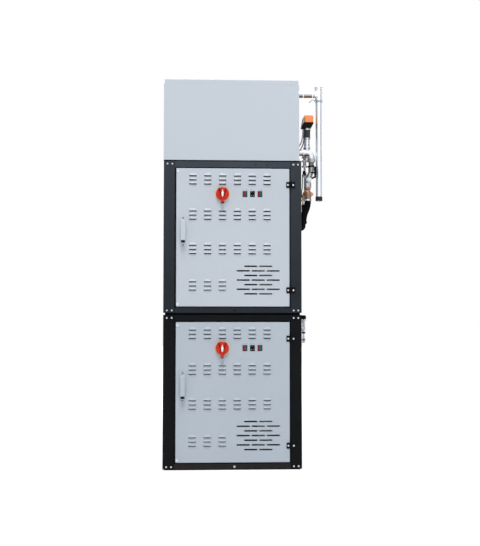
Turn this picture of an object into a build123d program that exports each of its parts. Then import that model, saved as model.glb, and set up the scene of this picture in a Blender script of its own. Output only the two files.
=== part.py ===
from build123d import *
from math import atan, cos, degrees, radians, sin
import os

os.makedirs("parts", exist_ok=True)

# Electric steam boiler: two equal cabinets stacked on each other, a feed tank
# on top and the feed pipework down the right-hand side.
# X runs to the right, Y to the back and Z up. The origin is the middle of the
# lower base plate, on the floor. All sizes are in millimetres.

# Cabinet frame, the same for both cabinets
frame_w = 740.0
frame_d = 840.0
frame_h = 814.0
post_w = 60.0
post_d = 60.0
post_wall = 3.0
post_edge = 3.0
rail_top_h = 33.0
rail_bottom_h = 28.5
rail_d = 40.0
rail_wall = 2.5
rail_hole_r = 3.0
rail_hole_x = 124.0
rail_hole_pitch = 60.0
rail_eye_r = 5.0
rail_eye_x = 11.0

# Plates under and over each frame, set in from its outline
plate_t = 5.5
plate_inset = 9.0

# Side and back panels: shallow pans that fill the frame's openings
panel_t = 1.5
panel_flange = 15.0
panel_inset = 3.0
seat_gap = 0.3

# Door pan
door_gap = 5.0
door_gap_left = 7.5
door_t = 1.5
door_flange = 20.0

# Pressed louvres of the door, in groups of three rows
louvre_w = 43.0
louvre_corner = 7.0
louvre_h = 14.0
louvre_out = 6.0
louvre_wall = 1.2
louvre_slot_drop = 3.0
louvre_margin = 88.5
louvre_margin_right = 67.0
louvre_pitch_x = 79.6
louvre_pitch_z = 22.0
louvre_rows = 3
group_drop = 39.5
group_pitch = 189.5

# Straight ventilation slots of the door
vent_w = 70.0
vent_h = 7.0
vent_pitch_x = 80.0
vent_pitch_z = 24.6
vent_margin = 168.2
vent_lead = 81.2
vent_row_counts = (2, 3, 2, 3, 2, 3, 2)

# Hinges
hinge_set = 1.5
hinge_h = 32.0
hinge_leaf = 24.0
hinge_leaf_t = 3.0
hinge_knuckle_r = 5.0
hinge_pin_r = 2.5
hinge_pin_fit = 0.05
hinge_play = 0.5
hinge_leaf_gap = 1.0
hinge_web_drop = 3.0
hinge_drop = 88.5
hinge_rise = 87.5

# Grab handle: a bent strap
handle_margin = 37.5
handle_above_mid = 30.75
handle_span = 121.0
handle_foot = 20.0
handle_w = 24.0
handle_t = 4.0
handle_out = 30.0
handle_bend_r = 6.0

# Main switch
switch_left = 56.75
switch_drop = 138.5
switch_plate_r = 37.5
switch_plate_t = 2.5
switch_body = 58.0
switch_body_d = 45.0
switch_neck_r = 11.0
switch_neck_fit = 1.0
knob_r = 34.5
knob_h = 12.0
knob_gap = 0.5
knob_grip_w = 18.0
knob_grip_h = 17.0
knob_lever = 50.0
knob_spindle_r = 4.0
knob_spindle = 10.0
knob_spindle_fit = 0.1

# Double rocker switches
rocker_right = 64.25
rocker_pitch = 40.2
bezel_w = 25.0
bezel_h = 31.0
bezel_t = 1.5
bezel_rim = 1.8
bezel_body_d = 18.0
bezel_body_wall = 0.9
bezel_fit = 0.5
pocket_d = 8.0
key_gap = 0.3
key_rise = 2.2

# Boiler vessel inside each cabinet
vessel_r = 190.0
vessel_side_gap = 50.0
vessel_back_gap = 160.0
vessel_bottom = 120.0
vessel_head_gap = 104.5
vessel_dish = 55.0
vessel_knuckle = 75.0
vessel_skirt_r = 120.0
flange_r = 92.0
flange_t = 18.0
flange_neck_r = 62.0
flange_neck = 30.0
heater_cover_r = 74.0
heater_cover = 62.0
heater_rise = 110.0
outlet_r = 16.9
outlet_bore_r = 13.6
outlet_drop = 100.0
outlet_out = 32.0
drain_r = 13.5
drain_bore_r = 10.4
drain_rise = 60.0
nozzle_root = 10.0
port_fit = 2.5

# Electrical plate inside each cabinet
board_side_gap = 10.0
board_set_back = 310.0
board_w = 150.0
board_h = 560.0
board_t = 2.5
board_foot = 60.0
block_w = 45.0
block_h = 78.0
block_d = 72.0
block_rise = 224.5
block_pitch = 130.0

# Feed tank casing, placed from the frame's sides and back
tank_overhang = 1.0
tank_set_in = 11.0
tank_set_in_back = 40.0
tank_wall_h = 413.0
tank_t = 2.0
tank_flange = 15.0
tank_base_t = 2.0
lid_h = 25.0
lid_inset = 4.0
lid_front_inset = 0.5
lid_r = 5.0
lid_edge = 2.0

# Pipework: one plane, set back from the front of the frame
pipe_back = 98.0
overflow_reach = 119.0
overflow_drop = 25.5
overflow_arm_r = 18.5
overflow_r = 17.0
overflow_wall = 1.5
overflow_len = 565.0
overflow_insert = 5.0
overflow_bead = 4.0
tee_neck = 22.5
tee_socket = 12.5
tee_rim_r = 23.5
tee_rim_t = 4.0
tee_wall = 1.8
sleeve_h = 23.0
sleeve_wall = 1.8
sleeve_past = 2.0

feed_reach = 77.0
feed_rise = 62.0
feed_r = 17.0
feed_bend_r = 26.0
union_lap = 4.0
union_h = 30.0
union_r = 20.0
clamp_drop = 24.0
clamp_h = 8.0
clamp_r = 18.0
drop_pipe_r = 14.0
drop_pipe_len = 49.0
valve_shift = 20.0
valve_ball_r = 19.0
valve_neck = 52.0
valve_waist = 13.5
valve_waist_r = 15.2
hex_h = 27.0
hex_across = 34.0
check_h = 58.0
check_r = 18.0
check_end_r = 14.4
check_end_h = 12.0
check_bonnet_rise = 36.0
check_branch_r = 13.0
check_branch = 34.0
hose_r = 18.0
hose_clear = 2.5
hose_straight = 10.0
hose_clamp_h = 12.0
hose_clamp_t = 2.0
hose_clamp_drop = 16.0

stem_reach = 52.5
stem_r = 16.0
stem_h = 81.0
stem_ring_r = 19.5
stem_ring_h = 6.0
nut_h = 43.0
nut_across = 36.0
collar_h = 12.0
collar_r = 21.0
motor_shift = 9.0
motor_w_low = 55.0
motor_w_high = 60.0
motor_h = 28.0
motor_d = 58.0
motor_low_shift = -13.0
motor_high_shift = -2.5
motor_flank_h = 30.0
motor_flank_t = 4.0
cap_w = 51.0
cap_h = 40.0
cap_d = 54.0
cap_r = 9.0
cap_edge = 4.0

branch_reach = 46.0
branch_back = 45.0
branch_neck_r = 11.0
branch_neck = 5.0
branch_block = 26.0
branch_body_r = 9.0
branch_body_h = 62.0
branch_hex_across = 28.0
branch_hex_h = 10.0
branch_pipe_r = 6.0
branch_bend_r = 14.0
branch_drop = 195.0
branch_port_r = 9.0
branch_port = 12.0
port_inside = 20.0
inlet_drop = 358.0
inlet_rise = 26.0
inlet_r = 13.0
inlet_bend_r = 16.0

lever_len = 41.0
lever_grip = 52.0
lever_w = 10.0
lever_t = 5.0
lever_hub_r = 11.0
lever_angle = 22.0
lever_spindle_r = 4.0
lever_boss_r = 8.0
lever_fit = 0.1
lever_stand = 14.0

# Small valve on the lower cabinet's side
tap_drop = 80.0
tap_back = 95.0
tap_r = 9.0
tap_out = 30.0
tap_bonnet = 50.0
tap_knob_r = 12.0
tap_knob_h = 22.0
tap_tail = 78.0
tap_ring_out = 3.0
tap_ring_h = 12.0
tap_ring_drop = 20.0

# Levels and places that follow from the sizes above
unit_pitch = frame_h + 2 * plate_t
unit_levels = {"lower": 0.0, "upper": unit_pitch}
frame_bottom = plate_t
frame_top = plate_t + frame_h
front = -frame_d / 2
back = frame_d / 2
side_x = frame_w / 2
panel_x = side_x - panel_inset
opening_w = frame_w - 2 * post_w
opening_bottom = frame_bottom + rail_bottom_h
opening_top = frame_top - rail_top_h
opening_h = opening_top - opening_bottom
opening_mid = (opening_top + opening_bottom) / 2
door_left = -opening_w / 2 + door_gap_left
door_right = opening_w / 2 - door_gap
door_w = door_right - door_left
door_x = (door_left + door_right) / 2
door_bottom = opening_bottom + door_gap
door_top = opening_top - door_gap
door_h = door_top - door_bottom
door_mid = (door_top + door_bottom) / 2
hinge_x = opening_w / 2 + hinge_set
hinge_mids = (door_bottom + hinge_rise, door_top - hinge_drop)
vessel_x = -opening_w / 2 + vessel_side_gap + vessel_r
vessel_y = back - vessel_back_gap - vessel_r
vessel_top = frame_top - vessel_head_gap - vessel_dish
heater_level = vessel_bottom + heater_rise
outlet_level = vessel_top - outlet_drop
drain_level = vessel_bottom + drain_rise

stack_top = 2 * unit_pitch
tank_left = -side_x - tank_overhang
tank_right = side_x - tank_set_in
tank_w = tank_right - tank_left
tank_x = (tank_left + tank_right) / 2
tank_d = frame_d - tank_set_in_back
tank_y = front + tank_d / 2
tank_wall_top = stack_top + tank_wall_h

pipe_y = front + pipe_back
overflow_x = tank_right + overflow_reach
overflow_level = tank_wall_top - overflow_drop
tee_r = overflow_r + tee_wall
tee_top = overflow_level + overflow_r + tee_neck
tee_skirt = overflow_level - overflow_r - tee_socket
overflow_top = tee_skirt + overflow_insert
overflow_end = overflow_top - overflow_len
feed_x = tank_right + feed_reach
feed_level = stack_top + feed_rise
union_bottom = feed_level - feed_bend_r + union_lap - union_h
valve_top = union_bottom - drop_pipe_len
valve_x = feed_x - valve_shift
valve_mid = valve_top - valve_neck
valve_bottom = valve_mid - valve_waist
check_top = valve_bottom - hex_h - seat_gap
check_bottom = check_top - check_h
stem_x = tank_right + stem_reach
stem_top = feed_level + stem_h
motor_x = stem_x + motor_shift
branch_x = tank_right + branch_reach
branch_y = pipe_y + branch_back
branch_level = stack_top - branch_drop
inlet_level = stack_top - inlet_drop
hose_x = side_x + hose_r + hose_clear
hose_end = inlet_level + inlet_rise
tap_level = unit_pitch - tap_drop
tap_y = front + tap_back


def save(builder, name):
    builder.part.label = name
    export_step(builder.part, f"parts/{name}.step")


def save_in_both(builder, name):
    for unit, level in unit_levels.items():
        piece = builder.part.moved(Location((0, 0, level)))
        piece.label = f"{unit}_{name}"
        export_step(piece, f"parts/{piece.label}.step")


# Four corner posts: square tube
with BuildPart() as posts:
    with BuildSketch(Plane.XY.offset(frame_bottom)) as post_outline:
        with GridLocations(frame_w - post_w, frame_d - post_d, 2, 2):
            Rectangle(post_w, post_d)
        chamfer(post_outline.vertices(), post_edge)
        with GridLocations(frame_w - post_w, frame_d - post_d, 2, 2):
            Rectangle(post_w - 2 * post_wall, post_d - 2 * post_wall, mode=Mode.SUBTRACT)
    extrude(amount=frame_h)
save_in_both(posts, "frame_posts")

# Top and bottom rails between the posts: box section, bored at the front
rail_levels = (
    (frame_bottom + rail_bottom_h / 2, rail_bottom_h),
    (frame_top - rail_top_h / 2, rail_top_h),
)
side_rail = frame_d - 2 * post_d
with BuildPart() as rails:
    for rail_z, rail_h in rail_levels:
        with BuildSketch(Plane.YZ.offset(-opening_w / 2)):
            with Locations((front + rail_d / 2, rail_z), (back - rail_d / 2, rail_z)):
                Rectangle(rail_d, rail_h)
                Rectangle(rail_d - 2 * rail_wall, rail_h - 2 * rail_wall, mode=Mode.SUBTRACT)
        extrude(amount=opening_w)
        with BuildSketch(Plane.XZ.offset(side_rail / 2)):
            with Locations((-side_x + rail_d / 2, rail_z), (side_x - rail_d / 2, rail_z)):
                Rectangle(rail_d, rail_h)
                Rectangle(rail_d - 2 * rail_wall, rail_h - 2 * rail_wall, mode=Mode.SUBTRACT)
        extrude(amount=-side_rail)
    with BuildSketch(Plane.XZ.offset(-front)):
        with Locations((rail_eye_x, rail_levels[0][0])):
            Circle(rail_eye_r)
        with Locations(
            (rail_hole_x, rail_levels[1][0]), (rail_hole_x + rail_hole_pitch, rail_levels[1][0])
        ):
            Circle(rail_hole_r)
    extrude(amount=-rail_wall, mode=Mode.SUBTRACT)
save_in_both(rails, "frame_rails")

# Base plate and top plate, each a little smaller than the frame
for plate_name, plate_level in (("base_plate", 0.0), ("top_plate", frame_top)):
    with BuildPart() as plate:
        with BuildSketch(Plane.XY.offset(plate_level)):
            Rectangle(frame_w - 2 * plate_inset, frame_d - 2 * plate_inset)
        extrude(amount=plate_t)
    save_in_both(plate, plate_name)


def wall_panels(unit, ports):
    """Left, right and back panels of one cabinet; ports lists the right side's holes."""
    level = unit_levels[unit]
    mid = level + opening_mid
    height = opening_h - 2 * seat_gap
    length = side_rail - 2 * seat_gap
    width = opening_w - 2 * seat_gap
    with BuildPart() as panels:
        for hand in (-1, 1):
            with BuildSketch(Plane.YZ.offset(hand * panel_x)):
                with Locations((0, mid)):
                    Rectangle(length, height)
            extrude(amount=-hand * panel_flange)
            with BuildSketch(Plane.YZ.offset(hand * (panel_x - panel_t))):
                with Locations((0, mid)):
                    Rectangle(length - 2 * panel_t, height - 2 * panel_t)
            extrude(amount=-hand * (panel_flange - panel_t), mode=Mode.SUBTRACT)
        with BuildSketch(Plane.XZ.offset(-back + panel_inset)):
            with Locations((0, mid)):
                Rectangle(width, height)
        extrude(amount=panel_flange)
        with BuildSketch(Plane.XZ.offset(-back + panel_inset + panel_t)):
            with Locations((0, mid)):
                Rectangle(width - 2 * panel_t, height - 2 * panel_t)
        extrude(amount=panel_flange - panel_t, mode=Mode.SUBTRACT)
        with BuildSketch(Plane.XZ.offset(-back + panel_inset)):
            with Locations((vessel_x, level + outlet_level)):
                Circle(outlet_r + port_fit)
            with Locations((vessel_x, level + drain_level)):
                Circle(drain_r + port_fit)
        extrude(amount=panel_t, mode=Mode.SUBTRACT)
        for port_y, port_z, port_r in ports:
            with BuildSketch(Plane.YZ.offset(panel_x)):
                with Locations((port_y, port_z)):
                    Circle(port_r + seat_gap)
            extrude(amount=-panel_t, mode=Mode.SUBTRACT)
    save(panels, f"{unit}_wall_panels")


wall_panels("lower", [(tap_y, tap_level, tap_r)])
wall_panels(
    "upper", [(branch_y, branch_level, branch_port_r), (pipe_y, inlet_level, inlet_r)]
)

# One louvre: a hood pressed out of the sheet, closed at its top and sides and open
# below. Its outline is drawn on the sheet and pushed outwards, and the slope from
# the lip back to the sheet cuts it off.


def louvre_hood():
    """The hood's outer form, from the sheet's face outwards."""
    with BuildPart() as hood:
        with BuildSketch(Plane.XZ) as outline:
            with Locations((0, louvre_h / 2)):
                Rectangle(louvre_w, louvre_h)
            chamfer(outline.vertices().group_by(Axis.Y)[-1], louvre_corner)
        extrude(amount=louvre_out)
        with BuildSketch(Plane.YZ.offset(-louvre_w / 2)):
            with BuildLine():
                Polyline((0, 0), (-louvre_out, 0), (0, louvre_h), close=True)
            make_face()
        extrude(amount=louvre_w, mode=Mode.INTERSECT)
    return hood.part


def louvre_hollow():
    """The space under the hood, with the slot through the sheet below it."""
    half = louvre_w / 2 - louvre_wall
    with BuildPart() as hollow:
        with BuildSketch(Plane.YZ.offset(-half)):
            with BuildLine():
                Polyline(
                    (door_t, -louvre_slot_drop),
                    (0, -louvre_slot_drop),
                    (0, 0),
                    (louvre_wall - louvre_out, 0),
                    (0, louvre_h - 2 * louvre_wall),
                    (door_t, louvre_h - 2 * louvre_wall),
                    close=True,
                )
            make_face()
        extrude(amount=2 * half)
        with BuildSketch(Plane.XZ.offset(louvre_out)):
            with BuildLine():
                corner = louvre_h - 2 * louvre_wall - louvre_corner
                Polyline(
                    (-half, -louvre_slot_drop),
                    (-half, corner),
                    (louvre_corner - half, corner + louvre_corner),
                    (half - louvre_corner, corner + louvre_corner),
                    (half, corner),
                    (half, -louvre_slot_drop),
                    close=True,
                )
            make_face()
        extrude(amount=-(louvre_out + door_t), mode=Mode.INTERSECT)
    return hollow.part


# Groups of three rows fill the door from the top. The lowest group is short and
# leaves room for the straight slots on its right.
vent_x = door_right - vent_margin
vent_left = vent_x - vent_pitch_x - vent_w / 2
columns = int((door_w - louvre_margin - louvre_margin_right) / louvre_pitch_x) + 1
short_reach = vent_left - door_left - louvre_margin - louvre_w / 2
short_columns = int(short_reach / louvre_pitch_x) + 1
group_h = (louvre_rows - 1) * louvre_pitch_z + louvre_h
groups = int((door_h - group_drop - group_h) / group_pitch) + 1
louvre_places = []
for group in range(groups):
    count = columns if group < groups - 1 else short_columns
    for row in range(louvre_rows):
        place_z = door_top - group_drop - group * group_pitch - row * louvre_pitch_z
        for column in range(count):
            place_x = door_left + louvre_margin + column * louvre_pitch_x
            louvre_places.append((place_x, front, place_z))
vent_top = door_top - group_drop - (groups - 1) * group_pitch + vent_lead
switch_x = door_x - switch_left
switch_z = door_top - switch_drop
bezel_xs = [door_x + rocker_right + index * rocker_pitch for index in range(3)]
bezel_places = [(bezel_x, switch_z) for bezel_x in bezel_xs]
pocket_w = bezel_w - 2 * bezel_rim
pocket_h = bezel_h - 2 * bezel_rim
bezel_hole = 2 * bezel_body_wall + 2 * bezel_fit

# Door: a folded pan with the louvres, vents and switch cut-outs in its face
with BuildPart() as door:
    with BuildSketch(Plane.XZ.offset(-front)):
        with Locations((door_x, door_mid)):
            Rectangle(door_w, door_h)
    extrude(amount=-door_flange)
    with BuildSketch(Plane.XZ.offset(-front - door_t)):
        with Locations((door_x, door_mid)):
            Rectangle(door_w - 2 * door_t, door_h - 2 * door_t)
    extrude(amount=-(door_flange - door_t), mode=Mode.SUBTRACT)
    with Locations(*louvre_places):
        add(louvre_hood())
    with Locations(*louvre_places):
        add(louvre_hollow(), mode=Mode.SUBTRACT)
    with BuildSketch(Plane.XZ.offset(-front)):
        for row, count in enumerate(vent_row_counts):
            with Locations((vent_x, vent_top - row * vent_pitch_z)):
                with GridLocations(vent_pitch_x, 1, count, 1):
                    Rectangle(vent_w, vent_h)
        with Locations((switch_x, switch_z)):
            Circle(switch_neck_r + switch_neck_fit)
        with Locations(*bezel_places):
            Rectangle(pocket_w + bezel_hole, pocket_h + bezel_hole)
    extrude(amount=-door_t, mode=Mode.SUBTRACT)
save_in_both(door, "door")

# Hinges: knuckles in front of the door's face, the pin held by the frame leaf. A
# leaf is flat on the face, and each knuckle of it runs into the flat without a step.
hinge_y = front - hinge_knuckle_r - hinge_play
knuckle_h = hinge_h / 3
leaf_root = hinge_knuckle_r + hinge_leaf_gap


def hinge_leaves(hand, middle):
    """Both leaves on one side; the door's knuckle is the middle one."""
    if middle:
        bands = [(-knuckle_h / 2 + hinge_play, knuckle_h / 2 - hinge_play)]
    else:
        bands = [(-hinge_h / 2, -knuckle_h / 2), (knuckle_h / 2, hinge_h / 2)]
    with BuildPart() as leaves:
        for mid in hinge_mids:
            with BuildSketch(Plane.XY.offset(mid - hinge_h / 2)):
                with Locations((hinge_x + hand * (leaf_root + hinge_leaf) / 2, front - hinge_leaf_t / 2)):
                    Rectangle(hinge_leaf - leaf_root, hinge_leaf_t)
            extrude(amount=hinge_h)
            for low, high in bands:
                with BuildSketch(Plane.XY.offset(mid + low)):
                    with Locations((hinge_x, hinge_y)):
                        Circle(hinge_knuckle_r)
                    with Locations((hinge_x + hand * leaf_root / 2, hinge_y + hinge_web_drop)):
                        Rectangle(leaf_root, hinge_leaf_t)
                extrude(amount=high - low)
            with BuildSketch(Plane.XY.offset(mid - hinge_h / 2)):
                with Locations((hinge_x, hinge_y)):
                    Circle(hinge_pin_r + (hinge_pin_fit if middle else 0))
            extrude(amount=hinge_h, mode=Mode.SUBTRACT if middle else Mode.ADD)
    return leaves


save_in_both(hinge_leaves(1, False), "frame_hinge_leaves")
save_in_both(hinge_leaves(-1, True), "door_hinge_leaves")

# Grab handle: a strap bent up from two feet, so that the grip stands clear of the
# door. Its outline is drawn from the side and extruded to the strap's width.
handle_z = door_mid + handle_above_mid
handle_x = door_left + handle_margin
foot_reach = handle_span / 2 + handle_foot
with BuildPart() as handle:
    with BuildSketch(Plane.YZ.offset(handle_x - handle_w / 2)) as profile:
        with BuildLine():
            Polyline(
                (front, handle_z - foot_reach),
                (front, handle_z - handle_span / 2 + handle_t),
                (front - handle_out + handle_t, handle_z - handle_span / 2 + handle_t),
                (front - handle_out + handle_t, handle_z + handle_span / 2 - handle_t),
                (front, handle_z + handle_span / 2 - handle_t),
                (front, handle_z + foot_reach),
                (front - handle_t, handle_z + foot_reach),
                (front - handle_t, handle_z + handle_span / 2),
                (front - handle_out, handle_z + handle_span / 2),
                (front - handle_out, handle_z - handle_span / 2),
                (front - handle_t, handle_z - handle_span / 2),
                (front - handle_t, handle_z - foot_reach),
                close=True,
            )
        make_face()
        fillet(profile.vertices().group_by(Axis.X)[0], handle_bend_r)
    extrude(amount=handle_w)
save_in_both(handle, "door_handle")

# Main switch: round front plate, neck through the door, housing behind it
with BuildPart() as switch_plate:
    with BuildSketch(Plane.XZ.offset(-front)):
        with Locations((switch_x, switch_z)):
            Circle(switch_plate_r)
    extrude(amount=switch_plate_t)
    with BuildSketch(Plane.XZ.offset(-front)):
        with Locations((switch_x, switch_z)):
            Circle(switch_neck_r)
    extrude(amount=-door_t)
    with BuildSketch(Plane.XZ.offset(-front - door_t)):
        with Locations((switch_x, switch_z)):
            Rectangle(switch_body, switch_body)
    extrude(amount=-switch_body_d)
    with BuildSketch(Plane.XZ.offset(-front + switch_plate_t)):
        with Locations((switch_x, switch_z)):
            Circle(knob_spindle_r + knob_spindle_fit)
    extrude(amount=-(knob_spindle + switch_plate_t), mode=Mode.SUBTRACT)
save_in_both(switch_plate, "switch_plate")

# Switch knob: disc with a raised grip that runs out into a lever below
knob_front = front - switch_plate_t - knob_gap
with BuildPart() as knob:
    with BuildSketch(Plane.XZ.offset(-knob_front)):
        with Locations((switch_x, switch_z)):
            Circle(knob_r)
    extrude(amount=knob_h)
    chamfer(knob.faces().sort_by(Axis.Y)[0].edges(), 2.0)
    with BuildSketch(Plane.XZ.offset(-knob_front)):
        with Locations((switch_x, switch_z - (knob_lever - knob_r * 0.72) / 2)):
            SlotOverall(knob_lever + knob_r * 0.72, knob_grip_w, rotation=90)
    extrude(amount=knob_h + knob_grip_h)
    chamfer(knob.faces().sort_by(Axis.Y)[0].edges(), 2.5)
    with BuildSketch(Plane.XZ.offset(-knob_front)):
        with Locations((switch_x, switch_z)):
            Circle(knob_spindle_r)
    extrude(amount=-(knob_spindle + knob_gap))
save_in_both(knob, "switch_knob")

# Three bezels with a pocket for two keys each
with BuildPart() as bezels:
    with BuildSketch(Plane.XZ.offset(-front)):
        with Locations(*bezel_places):
            Rectangle(bezel_w, bezel_h)
    extrude(amount=bezel_t)
    with BuildSketch(Plane.XZ.offset(-front)):
        with Locations(*bezel_places):
            Rectangle(pocket_w + 2 * bezel_body_wall, pocket_h + 2 * bezel_body_wall)
    extrude(amount=-bezel_body_d)
    with BuildSketch(Plane.XZ.offset(-front + bezel_t)):
        with Locations(*bezel_places):
            Rectangle(pocket_w, pocket_h)
    extrude(amount=-(pocket_d + bezel_t), mode=Mode.SUBTRACT)
save_in_both(bezels, "switch_bezels")

# Rocker keys, two to a bezel, each tipped in at its lower end
key_w = (pocket_w - 3 * key_gap) / 2
key_h = pocket_h - 2 * key_gap
key_front = front - bezel_t
with BuildPart() as keys:
    for place_x, place_z in bezel_places:
        for hand in (-1, 1):
            middle = place_x + hand * (key_w + key_gap) / 2
            with BuildSketch(Plane.YZ.offset(middle - key_w / 2)):
                with BuildLine():
                    Polyline(
                        (key_front - key_rise, place_z + key_h / 2),
                        (key_front, place_z),
                        (key_front + key_rise / 2, place_z - key_h / 2),
                        (key_front + bezel_t + pocket_d - key_gap, place_z - key_h / 2),
                        (key_front + bezel_t + pocket_d - key_gap, place_z + key_h / 2),
                        close=True,
                    )
                make_face()
            extrude(amount=key_w)
save_in_both(keys, "rocker_keys")

# Boiler vessel: an insulated drum with dished ends on a skirt, a flanged heater
# at the front, and the steam and drain nozzles out through the back
crown_r = vessel_r - vessel_knuckle
with BuildPart() as vessel:
    with BuildSketch(Plane.XZ.offset(-vessel_y)):
        with BuildLine():
            Polyline(
                (vessel_x, vessel_bottom - vessel_dish),
                (vessel_x + crown_r, vessel_bottom - vessel_dish),
                (vessel_x + vessel_r, vessel_bottom),
                (vessel_x + vessel_r, vessel_top),
                (vessel_x + crown_r, vessel_top + vessel_dish),
                (vessel_x, vessel_top + vessel_dish),
                close=True,
            )
        make_face()
    revolve(axis=Axis((vessel_x, vessel_y, 0), (0, 0, 1)))
    with BuildSketch(Plane.XY.offset(plate_t)):
        with Locations((vessel_x, vessel_y)):
            Circle(vessel_skirt_r)
    extrude(amount=vessel_bottom - plate_t)
    reach = vessel_r + flange_neck
    with BuildSketch(Plane.XZ.offset(-vessel_y)):
        with Locations((vessel_x, heater_level)):
            Circle(flange_neck_r)
    extrude(amount=reach)
    with BuildSketch(Plane.XZ.offset(-vessel_y + reach)):
        with Locations((vessel_x, heater_level)):
            Circle(flange_r)
    extrude(amount=flange_t)
    with BuildSketch(Plane.XZ.offset(-vessel_y + reach + flange_t)):
        with Locations((vessel_x, heater_level)):
            Circle(heater_cover_r)
    extrude(amount=heater_cover)
    nozzles = ((outlet_level, outlet_r, outlet_bore_r), (drain_level, drain_r, drain_bore_r))
    for nozzle_z, nozzle_r, bore_r in nozzles:
        nozzle_len = back + outlet_out - vessel_y
        with BuildSketch(Plane.XZ.offset(-vessel_y)):
            with Locations((vessel_x, nozzle_z)):
                Circle(nozzle_r)
        extrude(amount=-nozzle_len)
        with BuildSketch(Plane.XZ.offset(-vessel_y - nozzle_len)):
            with Locations((vessel_x, nozzle_z)):
                Circle(bore_r)
        extrude(amount=nozzle_len - vessel_r - nozzle_root, mode=Mode.SUBTRACT)
save_in_both(vessel, "boiler_vessel")

# Electrical plate: bent sheet on its foot, with three switching blocks
board_x = opening_w / 2 - board_side_gap - board_w / 2
board_y = front + board_set_back
with BuildPart() as board:
    with BuildSketch(Plane.YZ.offset(board_x - board_w / 2)):
        with BuildLine():
            Polyline(
                (board_y, plate_t),
                (board_y + board_foot, plate_t),
                (board_y + board_foot, plate_t + board_t),
                (board_y + board_t, plate_t + board_t),
                (board_y + board_t, plate_t + board_h),
                (board_y, plate_t + board_h),
                close=True,
            )
        make_face()
    extrude(amount=board_w)
    with BuildSketch(Plane.XZ.offset(-board_y)):
        with Locations((board_x, plate_t + block_rise + block_pitch)):
            with GridLocations(board_w / 2, block_pitch, 2, 3):
                Rectangle(block_w, block_h)
    extrude(amount=block_d)
save_in_both(board, "electrical_plate")

# Feed tank casing: front and back folded round the corners, sides between them
wall_mid = stack_top + tank_wall_h / 2
for wall_name, wall_y, hand in (
    ("tank_front_wall", tank_y - tank_d / 2, 1),
    ("tank_back_wall", tank_y + tank_d / 2, -1),
):
    with BuildPart() as wall:
        with BuildSketch(Plane.XZ.offset(-wall_y)):
            with Locations((tank_x, wall_mid)):
                Rectangle(tank_w, tank_wall_h)
        extrude(amount=-hand * tank_flange)
        with BuildSketch(Plane.XZ.offset(-wall_y - hand * tank_t)):
            with Locations((tank_x, wall_mid)):
                Rectangle(tank_w - 2 * tank_t, tank_wall_h - 2 * tank_t)
        extrude(amount=-hand * (tank_flange - tank_t), mode=Mode.SUBTRACT)
        vertical = wall.edges().filter_by(Axis.Z).filter_by_position(Axis.Y, wall_y - 0.1, wall_y + 0.1)
        fillet(vertical, tank_t)
    save(wall, wall_name)

side_len = tank_d - 2 * tank_flange - 2 * seat_gap
with BuildPart() as tank_sides:
    for hand in (-1, 1):
        face_x = tank_x + hand * tank_w / 2
        with BuildSketch(Plane.YZ.offset(face_x)):
            with Locations((tank_y, wall_mid)):
                Rectangle(side_len, tank_wall_h)
        extrude(amount=-hand * tank_flange)
        with BuildSketch(Plane.YZ.offset(face_x - hand * tank_t)):
            with Locations((tank_y, wall_mid)):
                Rectangle(side_len, tank_wall_h - 2 * tank_t)
        extrude(amount=-hand * (tank_flange - tank_t), mode=Mode.SUBTRACT)
    with BuildSketch(Plane.YZ.offset(tank_right)):
        with Locations((pipe_y, overflow_level)):
            Circle(overflow_arm_r + seat_gap)
        with Locations((pipe_y, feed_level)):
            Circle(feed_r + seat_gap)
    extrude(amount=-tank_t, mode=Mode.SUBTRACT)
save(tank_sides, "tank_side_walls")

# Tank base: a sheet between the walls' bottom flanges
base_inset = tank_flange + seat_gap
with BuildPart() as tank_base:
    with BuildSketch(Plane.XY.offset(stack_top)):
        with Locations((tank_x, tank_y)):
            Rectangle(tank_w - 2 * base_inset, tank_d - 2 * base_inset)
    extrude(amount=tank_base_t)
save(tank_base, "tank_base")

# Lid: a shallow pan turned down over the walls' top flange
lid_w = tank_w - 2 * lid_inset
lid_d = tank_d - lid_front_inset - lid_inset
lid_y = tank_y + (lid_front_inset - lid_inset) / 2
with BuildPart() as lid:
    with BuildSketch(Plane.XY.offset(tank_wall_top)):
        with Locations((tank_x, lid_y)):
            RectangleRounded(lid_w, lid_d, lid_r)
    extrude(amount=lid_h)
    chamfer(lid.faces().sort_by(Axis.Z)[-1].edges(), lid_edge)
    with BuildSketch(Plane.XY.offset(tank_wall_top)):
        with Locations((tank_x, lid_y)):
            RectangleRounded(lid_w - 2 * tank_t, lid_d - 2 * tank_t, lid_r - tank_t)
    extrude(amount=lid_h - tank_t, mode=Mode.SUBTRACT)
save(lid, "tank_lid")

# Overflow fitting: arm out of the tank and a tee with a flared rim on top
arm_start = tank_right - tank_flange
with BuildPart() as overflow_fitting:
    with BuildSketch(Plane.YZ.offset(arm_start)):
        with Locations((pipe_y, overflow_level)):
            Circle(overflow_arm_r)
    extrude(amount=overflow_x - arm_start)
    with BuildSketch(Plane.XY.offset(tee_skirt)):
        with Locations((overflow_x, pipe_y)):
            Circle(tee_r)
    extrude(amount=tee_top - tee_skirt)
    with BuildSketch(Plane.XY.offset(tee_top - tee_rim_t)):
        with Locations((overflow_x, pipe_y)):
            Circle(tee_rim_r)
    extrude(amount=tee_rim_t)
    with BuildSketch(Plane.XY.offset(tee_skirt)):
        with Locations((overflow_x, pipe_y)):
            Circle(overflow_r + seat_gap)
    extrude(amount=tee_top - tee_skirt, mode=Mode.SUBTRACT)
    with BuildSketch(Plane.YZ.offset(arm_start)):
        with Locations((pipe_y, overflow_level)):
            Circle(overflow_arm_r - overflow_wall)
    extrude(amount=overflow_x - arm_start, mode=Mode.SUBTRACT)
save(overflow_fitting, "overflow_fitting")

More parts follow.
